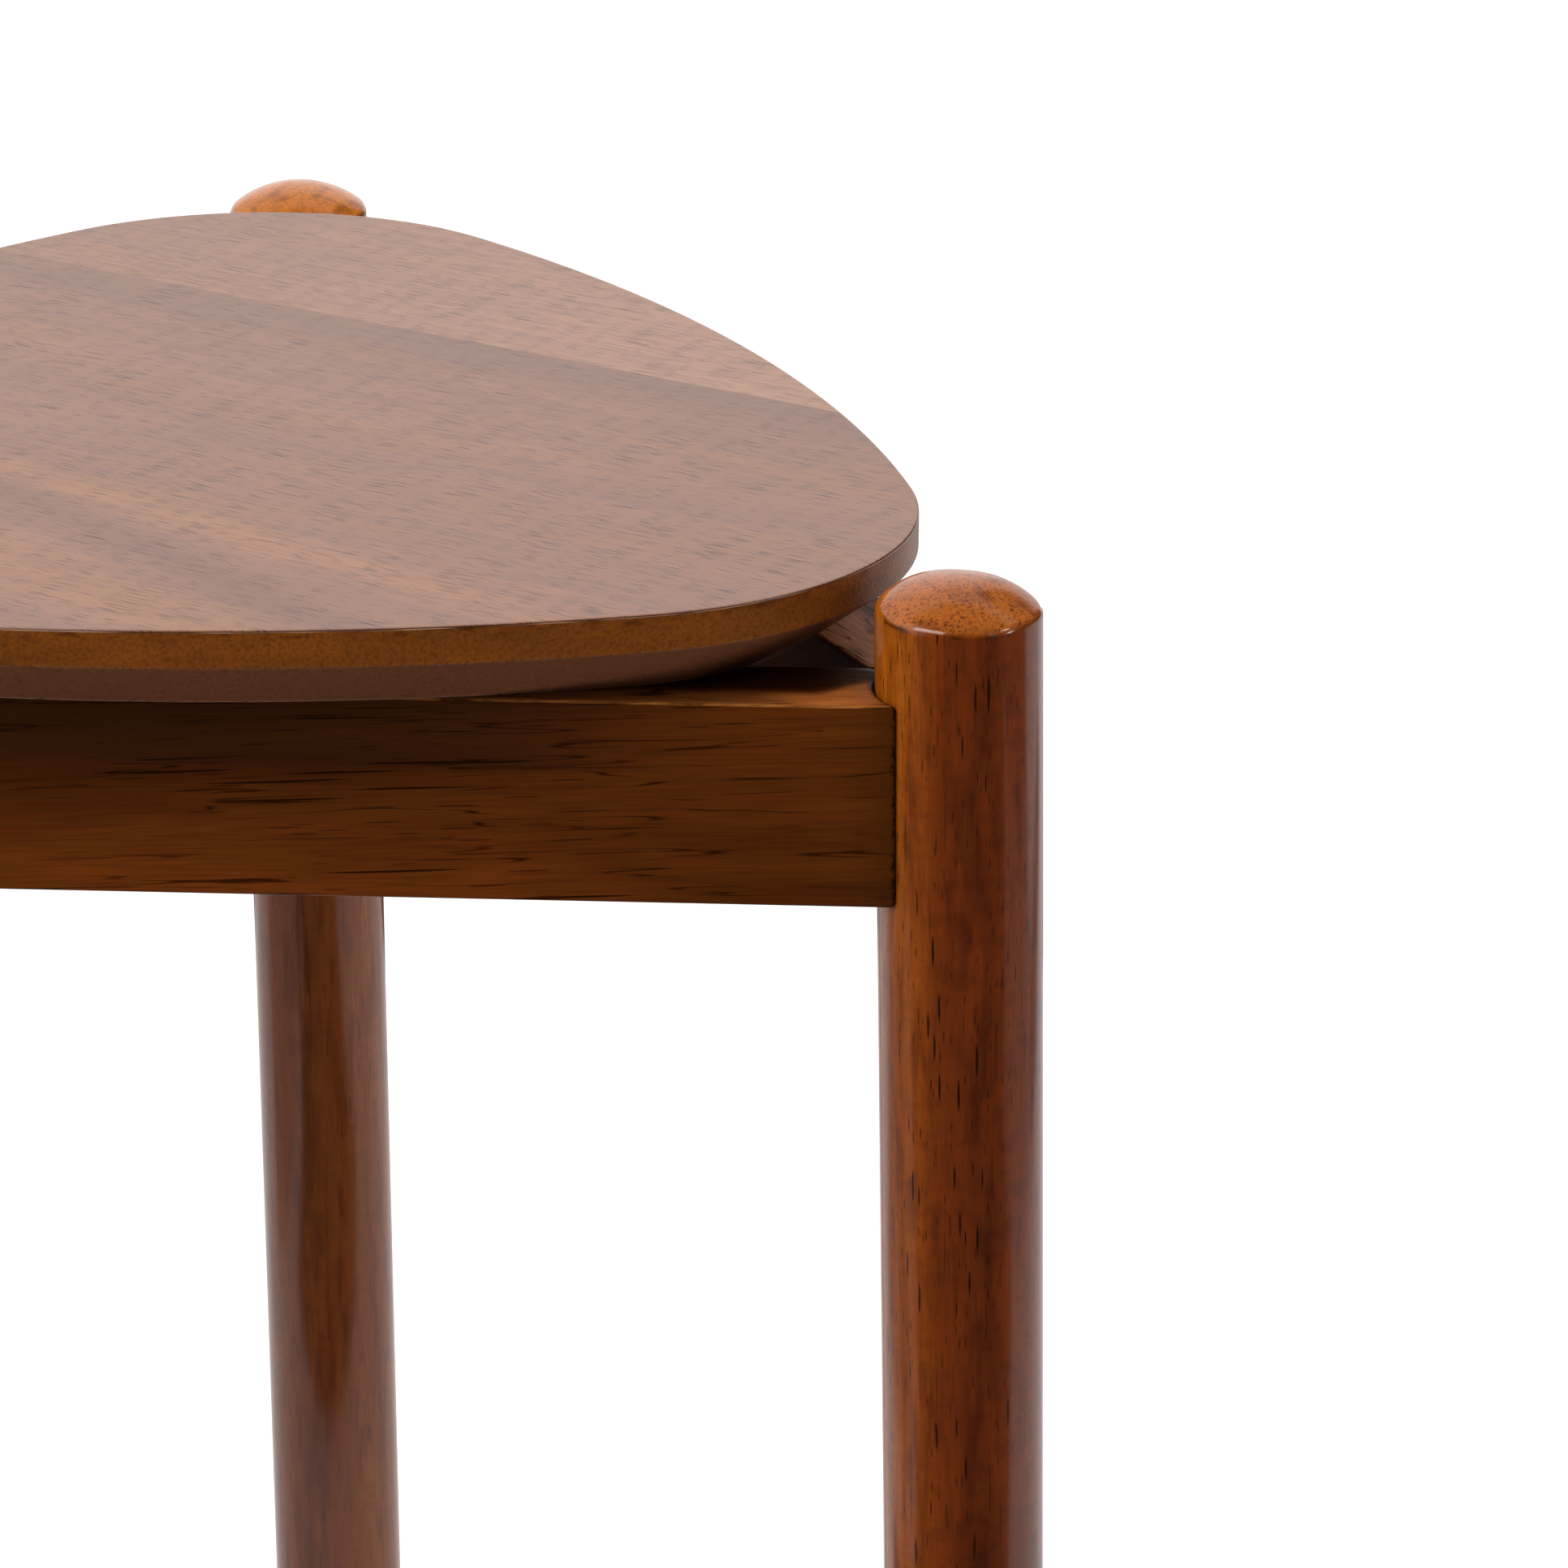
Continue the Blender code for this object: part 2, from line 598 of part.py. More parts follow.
def build_table():
    clear_scene()
    rail_wood = stained_rail_wood()
    leg_wood = stained_leg_wood()
    beech = dowel_beech()
    steel = zinc_plated_steel()
    nylon = glide_nylon()

    # The back foot reaches further than the board's front edge, so the table's axis lies before the origin
    table_frame = empty_at("table_frame", None, (0, (REACH_FRONT - REACH_BACK) / 2, 0))

    legs = {}
    for name, angle in LEG_ANGLES.items():
        place = polar(LEG_CIRCLE_RADIUS, angle, RAIL_TOP)
        leg_frame = empty_at("leg_frame_" + name, table_frame, place, (0, -LEG_SPLAY, angle))
        legs[name] = make_leg(name, leg_frame, leg_wood)
        foot_place = polar(FOOT_CIRCLE_RADIUS, angle)
        foot_frame = empty_at("foot_frame_" + name, table_frame, foot_place, (0, 0, angle))
        cut(legs[name], make_glide(name, foot_frame, nylon, steel))

    top_frame = empty_at("top_frame", table_frame, (0, 0, RAIL_TOP + SEAT_GAP))
    core = make_top_core(top_frame, painted_board())
    make_top_veneer(top_frame, walnut_veneer())
    backing = make_top_backing(top_frame, backing_veneer())

    for name, (outward, *_) in RAILS.items():
        place = polar(RAIL_LINE, outward, RAIL_TOP)
        rail_frame = empty_at("rail_frame_" + name, table_frame, place, (0, 0, outward - math.radians(90)))
        rail = make_rail(name, rail_frame, rail_wood)
        for leg_name, holes in make_dowels(name, rail_frame, beech).items():
            for hole in holes:
                cut(legs[leg_name], hole)
                cut(rail, hole)
        pilots = make_bracket(name, rail_frame, steel)
        for pilot in pilots["rail"]:
            cut(rail, pilot)
        for pilot in pilots["top"]:
            cut(core, pilot)
            cut(backing, pilot)
    even_shading([piece for piece in bpy.data.objects if piece.modifiers])


build_table()
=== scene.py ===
from math import acos, asin, atan2, cos, pi, radians, sin, tan, tau

import bpy
import numpy as np
from mathutils import Matrix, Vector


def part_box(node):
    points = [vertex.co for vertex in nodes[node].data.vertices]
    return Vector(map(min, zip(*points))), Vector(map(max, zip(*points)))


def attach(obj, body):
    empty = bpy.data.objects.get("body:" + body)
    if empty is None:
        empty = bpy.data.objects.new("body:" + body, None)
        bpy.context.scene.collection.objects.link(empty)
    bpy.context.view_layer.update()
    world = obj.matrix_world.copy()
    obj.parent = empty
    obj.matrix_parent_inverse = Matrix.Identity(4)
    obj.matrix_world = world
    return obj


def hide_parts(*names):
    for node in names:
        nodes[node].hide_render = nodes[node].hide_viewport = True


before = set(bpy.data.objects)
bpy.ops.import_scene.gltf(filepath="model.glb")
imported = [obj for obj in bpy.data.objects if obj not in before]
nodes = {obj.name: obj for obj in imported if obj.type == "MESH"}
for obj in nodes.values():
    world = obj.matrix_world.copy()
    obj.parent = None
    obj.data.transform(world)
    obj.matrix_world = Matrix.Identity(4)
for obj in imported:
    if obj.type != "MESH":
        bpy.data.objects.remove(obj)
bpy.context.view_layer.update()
scene = bpy.context.scene

# Legs: three round bars of hardwood, turned on a lathe with a domed head, leaning a little outwards and
# sawn level at the foot. They are stained orange-brown and sprayed with satin lacquer, and each is bored
# for the dowels of the two rails that meet in it and for the nail of its glide.
LEG_DIRECTIONS = {"front_right": radians(-30), "back": radians(90), "front_left": radians(210)}
RAIL_DIRECTIONS = {"front": radians(-90), "right": radians(30), "left": radians(150)}
LEG_CIRCLE = 0.2305  # table's axis to a leg's axis, level with the top of the rails
LEG_LEAN = radians(1.4)
LEG_RADIUS = 0.02
LEG_POINTS = 96
FOOT_ROUNDING = 0.001
FOOT_RINGS = 6
FOOT_GAP = 0.0003  # between the foot and its glide
SHAFT_FROM_FOOT = 0.005  # the plain rings start this far above the foot
SHAFT_TO_HEAD = 0.001  # and end this far below the shoulder
SHAFT_RINGS = 24
HEAD_STRAIGHT = 0.0185  # straight part of a leg above the rails
HEAD_SHOULDER = 0.0035  # rounding between the straight part and the dome
SHOULDER_RINGS = 14
HEAD_DOME_RISE = 0.00919
DOME_RINGS = 21
DOME_TIP_RADIUS = 0.0004  # smallest ring of the dome
# The domes are finished by hand, and the front right one stands this much proud on the table's side and as
# much low on the far side
HEAD_FULLNESS = {"front_right": 0.0009, "back": 0.0, "front_left": 0.0}
DOWEL_HOLE_RADIUS = 0.0042
DOWEL_HOLE_LENGTH = 0.035
NAIL_HOLE_RADIUS = 0.0015
NAIL_END_ROOM = 0.0005
HOLE_POINTS = 24
NO_BORE_WAY = (0.3, 0.5, 0.8)  # a direction that no hole runs in
SHARP_CORNER = radians(30)
GRAIN_SHIFT = 1.0  # each piece takes its figure from another metre of the same wood
# How far the figure is turned about a leg, which puts its pale side, partly painted light, where the leg is
# lit, and its growth ring, partly painted shade, where it gets less light
LEG_TURNS = {"front_right": radians(135), "back": radians(105), "front_left": radians(120)}
LEG_TONES = {
    # ground, pale side (partly painted light), growth ring (partly painted shade) and end grain of each
    # billet, and how dark its pores stand
    "front_right": ("793205", "CA6C14", "451804", "C0681E", 1.0),
    "back": ("7A4018", "A45E28", "5A2C10", "DC801F", 0.4),
    "front_left": ("7A3208", "A05214", "4A1C06", "BC6620", 1.0),
}

RAIL_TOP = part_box("rail_front")[1][2]
GLIDE_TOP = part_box("glide_pad_back")[1][2]
# The three glides stand evenly round the table's axis
TABLE_AXIS = np.mean([np.mean(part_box("glide_pad_" + leg), axis=0) for leg in LEG_DIRECTIONS], axis=0)
TABLE_AXIS[2] = 0


def skin(name, rings):
    """Closed surface over rings of equally many points, an array of rings by points by XYZ.

    Neighbouring rings are joined by quads, and the first and the last ring by triangles to their middles.
    The points of a ring run anticlockwise when they are seen from where the rings go.
    """
    rows, around = rings.shape[:2]
    points = np.concatenate([rings.reshape(-1, 3), rings[[0, -1]].mean(axis=1)])
    here = np.arange(around)
    after = np.roll(here, -1)
    row = np.arange(rows - 1)[:, None] * around
    quads = np.stack([row + here, row + after, row + around + after, row + around + here], axis=-1)
    last = (rows - 1) * around
    first_middle = np.full(around, rows * around)
    first_cap = np.stack([after, here, first_middle], axis=-1)
    last_cap = np.stack([last + here, last + after, first_middle + 1], axis=-1)
    mesh = bpy.data.meshes.new(name)
    faces = quads.reshape(-1, 4).tolist() + first_cap.tolist() + last_cap.tolist()
    mesh.from_pydata(points.tolist(), [], faces)
    piece = bpy.data.objects.new(name, mesh)
    scene.collection.objects.link(piece)
    return piece


def turned(profile, around):
    """Rings of a body turned round Z: at each height of the profile, a circle of that radius."""
    angles = np.linspace(0, tau, around, endpoint=False)
    radius, height = np.array(profile).T[:, :, None]
    return np.stack([radius * np.cos(angles), radius * np.sin(angles), height + 0 * angles], axis=-1)


def turn_about_z(angle):
    """Matrix that turns points about Z."""
    return np.array([[cos(angle), -sin(angle), 0], [sin(angle), cos(angle), 0], [0, 0, 1]])


def frame_at(outwards, reach, height, lean=0.0):
    """A part's own frame on the table: +X looks outwards, +Z up, and its foot may lean outwards.

    Gives the turn and the place. The turn is a lean round Y and then a turn round Z to the direction.
    """
    lean_turn = np.array([[cos(lean), 0, -sin(lean)], [0, 1, 0], [sin(lean), 0, cos(lean)]])
    direction = turn_about_z(outwards)
    return direction @ lean_turn, TABLE_AXIS + direction @ np.array([reach, 0, height])


def placed(points, part_frame):
    """Points of a part's own frame where they stand in the table."""
    turn, place = part_frame
    return points @ turn.T + place


def own_places(piece, part_frame):
    """Where a piece's points lie in its own frame: the turn and the place undone."""
    turn, place = part_frame
    points = np.empty(len(piece.data.vertices) * 3)
    piece.data.vertices.foreach_get("co", points)
    return (points.reshape(-1, 3) - place) @ turn


def keep_grain(piece, part_frame, shift, turn=0.0):
    """Store each point's place in the part's own frame, turned about Z and shifted, for its figure."""
    own = own_places(piece, part_frame) @ turn_about_z(turn).T + shift
    grain = piece.data.attributes.new("grain", "FLOAT_VECTOR", "POINT")
    grain.data.foreach_set("vector", own.astype(np.float32).ravel())


def finished(piece, material, slot_name, *replaced):
    """Shade a piece round with sharp corners, give it its material and put it in the frame."""
    piece.data.shade_smooth()
    piece.data.set_sharp_from_angle(angle=SHARP_CORNER)
    piece.data.materials.append(material)
    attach(piece, "root")
    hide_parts(*replaced)


def linear(hex_colour):
    """Linear RGBA of an sRGB hex colour."""
    srgb = np.array([int(hex_colour[i:i + 2], 16) for i in (0, 2, 4)]) / 255
    light = np.where(srgb <= 0.04045, srgb / 12.92, ((srgb + 0.055) / 1.055) ** 2.4)
    return (*light.tolist(), 1.0)


def add_node(beside, kind, inputs=None, **settings):
    """Add a shader node to a tree or beside a socket, set it, and give its inputs values or links.

    Gives the node's outputs.
    """
    tree = beside.id_data
    node = tree.nodes.new("ShaderNode" + kind)
    for key, value in settings.items():
        setattr(node, key, value)
    for key, value in (inputs or {}).items():
        if isinstance(value, bpy.types.NodeSocket):
            tree.links.new(value, node.inputs[key])
        else:
            node.inputs[key].default_value = value
    return node.outputs


def new_finish(name, attribute=None):
    """An empty material, and the coordinates in its node tree that its figure follows.

    They are the object's own, or the ones that are stored in an attribute of the mesh.
    """
    material = bpy.data.materials.new(name)
    material.use_nodes = True
    tree = material.node_tree
    tree.nodes.clear()
    if attribute:
        return material, add_node(tree, "Attribute", attribute_name=attribute)["Vector"]
    return material, add_node(tree, "TexCoord")["Object"]


def upness(beside):
    """How far the surface looks up: 1 on a level face, 0 on an upright one."""
    normal = add_node(beside, "NewGeometry")["Normal"]
    return add_node(normal, "SeparateXYZ", {0: normal})[2]


def both(one, other):
    """A mark only as far as another mark, or a share, holds as well."""
    return add_node(one, "Math", {0: one, 1: other}, operation="MULTIPLY")[0]


def ramp(value, level, other_level, start=0.0, end=1.0, course="SMOOTHSTEP"):
    """A change from one number to another while a value goes from one level to another."""
    return add_node(
        value, "MapRange",
        {"Value": value, "From Min": level, "From Max": other_level, "To Min": start, "To Max": end},
        interpolation_type=course,
    )[0]


def figure(kind, where, size, inputs=None, **settings):
    """What a texture gives when its features have about a size in metres along each axis."""
    stretched = add_node(where, "Mapping", {"Vector": where, "Scale": 1 / np.broadcast_to(size, 3)})
    inputs = {"Vector": stretched[0], "Scale": 1.0, **(inputs or {})}
    return add_node(where, kind, inputs, **settings)


def marks(where, size, low, high, detail=2.0):
    """Marks of about a size in metres along each axis: noise, 0 below one level and 1 above another."""
    noise = figure("TexNoise", where, size, {"Detail": detail})
    return ramp(noise[0], low, high, course="LINEAR")


def wavy(where, size, sway):
    """Coordinates that drift from straight by up to half a sway in metres, over a size along each axis."""
    noise = figure("TexNoise", where, size, {"Detail": 1.0})
    drift = add_node(where, "VectorMath", {0: noise[1], 1: (-0.5, -0.5, -0.5)}, operation="ADD")
    return add_node(where, "VectorMath", {0: drift[0], 1: sway, 2: where}, operation="MULTIPLY_ADD")[0]


def stripe(across, centre, half_width):
    """A soft stripe along the grain: 1 on its middle line, falling to 0 at half its width to either side."""
    off = add_node(across, "Math", {0: across, 1: centre}, operation="SUBTRACT")[0]
    away = add_node(off, "Math", {0: off}, operation="ABSOLUTE")[0]
    return ramp(away, half_width, 0.0)


def dashes(where, size, share, thickness, flat=False):
    """Separate short marks with pointed ends, strewn one to a cell of a size in metres.

    A mark covers what lies nearer to a cell's random point than a random part of the thickness, in cells, and
    only a share of the cells has one.
    """
    strewn = figure("TexVoronoi", where, size, voronoi_dimensions="2D" if flat else "3D")
    chance = add_node(where, "SeparateColor", {0: strewn["Color"]})[0]
    reach = ramp(chance, 1 - share, 1.0, 0.0, thickness, "LINEAR")
    inside = add_node(where, "Math", {0: reach, 1: strewn["Distance"]}, operation="SUBTRACT")
    return ramp(inside[0], 0.0, 0.3 * thickness)


def painted(ground, *layers):
    """Colours laid over a ground colour in turn, each as far as its mark covers, times a share."""
    colour = linear(ground)
    for mark, share, layer in layers:
        colour = add_node(
            mark, "Mix", {0: both(mark, share), 6: colour, 7: linear(layer)}, data_type="RGBA"
        )[2]
    return colour


def surface(material, colour, roughness, height=None, depth=0.0, **others):
    """Give a material its surface, with the bump of a height from 0 to 1 over a depth in metres."""
    tree = material.node_tree
    inputs = {"Base Color": colour, "Roughness": roughness}
    inputs.update({key.replace("_", " "): value for key, value in others.items()})
    if height is not None:
        bump = add_node(tree, "Bump", {"Height": height, "Distance": depth, "Strength": 1.0})
        inputs["Normal"] = bump[0]
    shader = add_node(tree, "BsdfPrincipled", inputs)
    add_node(tree, "OutputMaterial", {"Surface": shader[0]})
    return material


def bore(piece, bars):
    """Cut round holes out of a piece. A bar is the two ends of its axis and its radius."""
    holes = []
    for start, end, radius in bars:
        start, end = np.array(start), np.array(end)
        along = (end - start) / np.linalg.norm(end - start)
        side = np.cross(along, NO_BORE_WAY)
        side /= np.linalg.norm(side)
        third = np.cross(along, side)
        angles = np.linspace(0, tau, HOLE_POINTS, endpoint=False)[:, None]
        circle = radius * (np.cos(angles) * side + np.sin(angles) * third)
        holes.append(skin("hole", np.stack([start + circle, end + circle])))
    for hole in holes:
        boolean = piece.modifiers.new("hole", "BOOLEAN")
        boolean.operation = "DIFFERENCE"
        boolean.solver = "EXACT"
        boolean.object = hole
    bpy.context.view_layer.update()
    whole = piece.evaluated_get(bpy.context.evaluated_depsgraph_get())
    cut_mesh = bpy.data.meshes.new_from_object(whole)
    piece.modifiers.clear()
    piece.data = cut_mesh
    for hole in holes:
        bpy.data.objects.remove(hole)


def dowel_holes(words):
    """The bars of the holes round every dowel whose name holds all the words."""
    bars = []
    for rail_name, outwards in RAIL_DIRECTIONS.items():
        along = np.array([-sin(outwards), cos(outwards), 0])
        for node_name in nodes:
            if node_name.startswith(f"dowel_{rail_name}_rail") and words in node_name:
                middle = np.mean(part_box(node_name), axis=0)
                half = along * DOWEL_HOLE_LENGTH / 2
                bars.append((middle - half, middle + half, DOWEL_HOLE_RADIUS))
    return bars


def nail_hole(leg_name):
    """The bar of the hole round a glide's nail."""
    low, high = np.array(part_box("glide_nail_" + leg_name))
    middle = (low + high) / 2
    return (*middle[:2], 0), (*middle[:2], high[2] + NAIL_END_ROOM), NAIL_HOLE_RADIUS


def head_profile():
    """Radius and height of a leg's head, from the shoulder to the tip.

    The shoulder is an arc that leaves the straight side upright, and the dome is a sphere tangent to it with
    its tip on the leg's axis.
    """
    arc_x, arc = LEG_RADIUS - HEAD_SHOULDER, HEAD_SHOULDER
    sphere = (arc_x ** 2 + HEAD_DOME_RISE ** 2 - arc ** 2) / (2 * (HEAD_DOME_RISE - arc))
    centre = HEAD_STRAIGHT + HEAD_DOME_RISE - sphere
    tangent = atan2(HEAD_STRAIGHT - centre, arc_x)
    shoulder = np.linspace(0, tangent, SHOULDER_RINGS)
    dome = np.linspace(tangent, acos(DOME_TIP_RADIUS / sphere), DOME_RINGS + 1)[1:]
    radius = np.concatenate([arc_x + arc * np.cos(shoulder), sphere * np.cos(dome)])
    height = np.concatenate([HEAD_STRAIGHT + arc * np.sin(shoulder), centre + sphere * np.sin(dome)])
    return np.stack([radius, height], axis=-1)


def rounded_rim(radius, foot, rounding, rings):
    """Radius and height of the quarter circle between a level underside and an upright side."""
    arc = np.linspace(0, pi / 2, rings)
    return (radius, foot) + np.stack([np.sin(arc) - 1, 1 - np.cos(arc)], axis=-1) * rounding


def leg_rings(fullness):
    """A circle carried up the leg's axis, with the rings at the foot leaned back to lie level.

    The dome is lifted on the table's side and lowered on the far side, by the cube of the share of the radius
    times what is left of it.
    """
    foot = (GLIDE_TOP + FOOT_GAP - RAIL_TOP) / cos(LEG_LEAN)
    rounding = rounded_rim(LEG_RADIUS, foot, FOOT_ROUNDING, FOOT_RINGS)
    heights = np.linspace(foot + SHAFT_FROM_FOOT, HEAD_STRAIGHT - SHAFT_TO_HEAD, SHAFT_RINGS)
    shaft = np.stack([np.full_like(heights, LEG_RADIUS), heights], axis=-1)
    rings = turned(np.concatenate([rounding, shaft, head_profile()]), LEG_POINTS)
    rings[:FOOT_RINGS, :, 2] -= rings[:FOOT_RINGS, :, 0] * tan(LEG_LEAN)
    inwards = -rings[..., 0] / LEG_RADIUS
    hump = 256 / 27 * inwards ** 3 * (1 - np.abs(inwards))  # 1 at three quarters of the radius
    rings[..., 2] += fullness * hump * (rings[..., 2] > HEAD_STRAIGHT)
    return rings


def turned_hardwood(leg_name):
    """Light hardwood, turned, sanded, stained orange-brown and sprayed with satin lacquer.

    The eye gets a pale side and a dark growth ring along the leg, partly wood and partly painted light and
    shade:
    the pale side is turned to the light and fades towards the foot. It also gets short dark dashes where
    pores are cut open, and faint rings from the lathe. The dome gives it a redder, finely speckled end grain,
    and a shine where it rounds over to the side.
    """
    material, own = new_finish("hardwood_turned_stained_satin_lacquer_" + leg_name, "grain")
    ground, pale_side, ring_and_shade_tone, dome, open_grain = LEG_TONES[leg_name]
    where = wavy(own, (0.02, 0.02, 0.07), (0.0006, 0.0006, 0.0))
    drifting = wavy(own, (0.03, 0.03, 0.09), (0.006, 0.0, 0.0))
    across = add_node(own, "SeparateXYZ", {0: drifting})[0]
    # The pale side fades towards the foot, as painted shade where less light reaches lower down
    standing = add_node(own, "TexCoord")["Object"]
    height = add_node(own, "SeparateXYZ", {0: standing})[2]
    pale_side_and_light = both(ramp(across, 0.008, 0.02), ramp(height, 0.36, 0.47, 0.45, 1.0))
    # The growth ring is partly painted shade: it darkens the leg where it gets less light
    dark_ring_and_shade = both(stripe(across, 0.001, 0.009), marks(where, (0.005, 0.005, 0.026), 0.34, 0.62))
    broad = marks(where, (0.009, 0.009, 0.15), 0.42, 0.64)
    dark = marks(where, (0.003, 0.003, 0.026), 0.5, 0.7)
    fibres = marks(where, (0.0007, 0.0007, 0.012), 0.35, 0.75)
    lathe = marks(own, (0.008, 0.008, 0.0008), 0.4, 0.7)
    # End grain shows where the surface looks up, on the dome
    up = upness(own)
    end_grain = ramp(up, 0.25, 0.7)
    side_grain = ramp(up, 0.7, 0.25)
    crowd = marks(own, (0.012, 0.012, 0.045), 0.3, 0.52, detail=0.0)
    open_pores = both(both(dashes(where, (0.0011, 0.0011, 0.014), 0.85, 0.38), crowd), side_grain)
    small_pores = both(dashes(where, (0.0008, 0.0008, 0.006), 0.8, 0.34), side_grain)
    long_pores = both(dashes(where, (0.0009, 0.0009, 0.03), 0.75, 0.33), side_grain)
    blotches = both(marks(own, 0.006, 0.5, 0.68), end_grain)
    crowded = ramp(marks(own, 0.0075, 0.38, 0.58), 0.0, 1.0, 0.65, 1.0)
    specks = both(marks(own, 0.0008, 0.5, 0.68, detail=1.0), crowded)
    # Stain gathers in the rounding under the dome, and hands and cloths have rubbed the rounding to a shine
    shoulder = both(stripe(up, 0.22, 0.3), marks(own, 0.005, 0.5, 0.62))
    shine = stripe(up, 0.52, 0.3)
    colour = painted(
        ground,
        (pale_side_and_light, 0.9, pale_side),
        (broad, 0.5, "702E08"),
        (dark_ring_and_shade, 0.85, ring_and_shade_tone),
        (dark, 0.45, "421603"),
        (end_grain, 0.78, dome),
        (blotches, 0.6, "7A3A12"),
        (both(specks, end_grain), 0.78 * open_grain, "4A1E08"),
        (shoulder, 0.8, "200C04"),
        (fibres, 0.3, "4E1E08"),
        (lathe, 0.14, "5E270B"),
        (small_pores, 0.65 * open_grain, "361304"),
        (long_pores, 0.5 * open_grain, "361304"),
        (open_pores, 0.94 * open_grain, "260B02"),
    )
    return surface(
        material, colour, 0.46, open_pores, -0.0001, IOR=1.5, Specular_IOR_Level=0.04,
        Coat_Weight=ramp(shine, 0.0, 1.0, 0.62, 1.0), Coat_Roughness=ramp(shine, 0.0, 1.0, 0.17, 0.13),
    )


for number, (leg_name, outwards) in enumerate(LEG_DIRECTIONS.items()):
    leg_frame = frame_at(outwards, LEG_CIRCLE, RAIL_TOP, LEG_LEAN)
    leg = skin("turned_leg_" + leg_name, placed(leg_rings(HEAD_FULLNESS[leg_name]), leg_frame))
    bore(leg, dowel_holes(f"_{leg_name}_leg_") + [nail_hole(leg_name)])
    keep_grain(leg, leg_frame, (0, 0, GRAIN_SHIFT * number), LEG_TURNS[leg_name])
    finished(leg, turned_hardwood(leg_name), "leg_wood", "leg_" + leg_name)


# Glides: round nylon pads moulded on the head of a nail, which is driven up into the foot of each leg. The
# nails keep their CAD solids, steel with a thin coat of zinc.
GLIDE_RADIUS = 0.012
GLIDE_HEIGHT = 0.0045
GLIDE_ROUNDING = 0.0012
GLIDE_RINGS = 8
GLIDE_EASING = 0.0002  # of its upper edge
NAIL_POCKET = ((0.0015, 0.0045), (0.0015, 0.0026), (0.0042, 0.0026), (0.0042, 0.0012))
GLIDE_POINTS = 64


def glide_rings():
    """A circle carried up the rounded rim, over the top and down into the pocket of the nail's head."""
    rim = rounded_rim(GLIDE_RADIUS, 0, GLIDE_ROUNDING, GLIDE_RINGS)
    top = [(GLIDE_RADIUS, GLIDE_HEIGHT - GLIDE_EASING), (GLIDE_RADIUS - GLIDE_EASING, GLIDE_HEIGHT)]
    return turned(np.concatenate([[(GLIDE_RADIUS / 2, 0)], rim, top, NAIL_POCKET]), GLIDE_POINTS)


def moulded_nylon():
    """Brown nylon, injection moulded, with the fine matt grain of its mould and paler scuffs below."""
    material, own = new_finish("nylon_moulded_brown")
    grain = marks(own, 0.0004, 0.35, 0.65)
    scuffs = marks(own, (0.004, 0.0012, 0.004), 0.55, 0.7)
    colour = painted("4A3226", (grain, 0.25, "38261C"), (scuffs, 0.35, "6A5346"))
    return surface(material, colour, 0.5, grain, 0.00002, IOR=1.53)


def plated_steel():
    """Mild steel, pressed or headed and zinc plated: a pale metal with a cloudy, slightly warm sheen."""
    material, own = new_finish("steel_pressed_zinc_plated")
    cloud = marks(own, 0.006, 0.35, 0.65)
    rolled = marks(own, (0.015, 0.015, 0.0004), 0.4, 0.65)
    colour = painted("B9BABB", (cloud, 0.5, "A6A39A"), (rolled, 0.25, "8E8F92"))
    return surface(material, colour, 0.34, rolled, -0.00001, Metallic=1.0)


def own_finish(node_name, material):
    """Give a CAD node a finish of its own."""
    nodes[node_name].material_slots[0].material = material


nylon = moulded_nylon()
steel = plated_steel()
for leg_name in LEG_DIRECTIONS:
    foot = np.mean(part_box("glide_pad_" + leg_name), axis=0) * (1, 1, 0)
    pad = skin("moulded_glide_" + leg_name, glide_rings() + foot)
    finished(pad, nylon, "glide_plastic", "glide_pad_" + leg_name)
    own_finish("glide_nail_" + leg_name, steel)


# Dowels: fluted beech pins, two at each end of a rail, glued into the rail and its leg. They keep their CAD
# solids, and the flutes let the glue out of the blind holes.


def beech(outwards):
    """Steamed beech, moulded to a fluted rod: pale pinkish wood with short dark flecks along the dowel."""
    material, own = new_finish("beech_moulded_bare")
    along_y = add_node(own, "Mapping", {"Vector": own, "Rotation": (0, 0, -outwards)})[0]
    flecks = marks(along_y, (0.0004, 0.0022, 0.0004), 0.6, 0.68)
    fibres = marks(along_y, (0.0008, 0.015, 0.0008), 0.35, 0.65)
    colour = painted("D2B08A", (fibres, 0.4, "C09A72"), (flecks, 0.6, "8E6240"))
    return surface(material, colour, 0.7, fibres, -0.00003, IOR=1.5)


for rail_name, outwards in RAIL_DIRECTIONS.items():
    rail_beech = beech(outwards)
    for node_name in nodes:
        if node_name.startswith(f"dowel_{rail_name}_rail"):
            own_finish(node_name, rail_beech)


# Rails: three pieces of hardwood, planed with rounded arrises and stained darker than the legs. Each end is
# scribed round its leg, mitred against the next rail behind the leg, and glued there on two dowels.
RAIL_TO_LEG = radians(60)  # between the directions of a rail and of the legs that it joins
RAIL_LINE = LEG_CIRCLE * cos(RAIL_TO_LEG)  # table's axis to the line between two legs
RAIL_HEIGHT = 0.0514
RAIL_OUTER = 0.0146  # outer face outside that line
RAIL_INNER = -0.0126  # inner face inside it
RAIL_ARRIS = 0.0012
ARRIS_POINTS = 7
FACE_EDGE_ROW = 0.002  # an upright face has a row this far from its rounded edges
LEVEL_EDGE_ROW = 0.001  # and the faces above and below one this far from theirs
LEVEL_ROWS = 12
RAIL_RINGS = 15
RAIL_RING_SPAN = 0.97  # share of the rail's length between the end rings
RAIL_END_EASING = 0.001  # rounding of the edges that meet the leg, seen as a dark line
EASING_RINGS = 5
END_FACE_SHARES = (0.02, 0.3, 0.6, 0.85)  # sizes of the rings on the end face
GLUE_GAP = 0.0003
SCRIBE_RADIUS = LEG_RADIUS / cos(LEG_LEAN) + GLUE_GAP
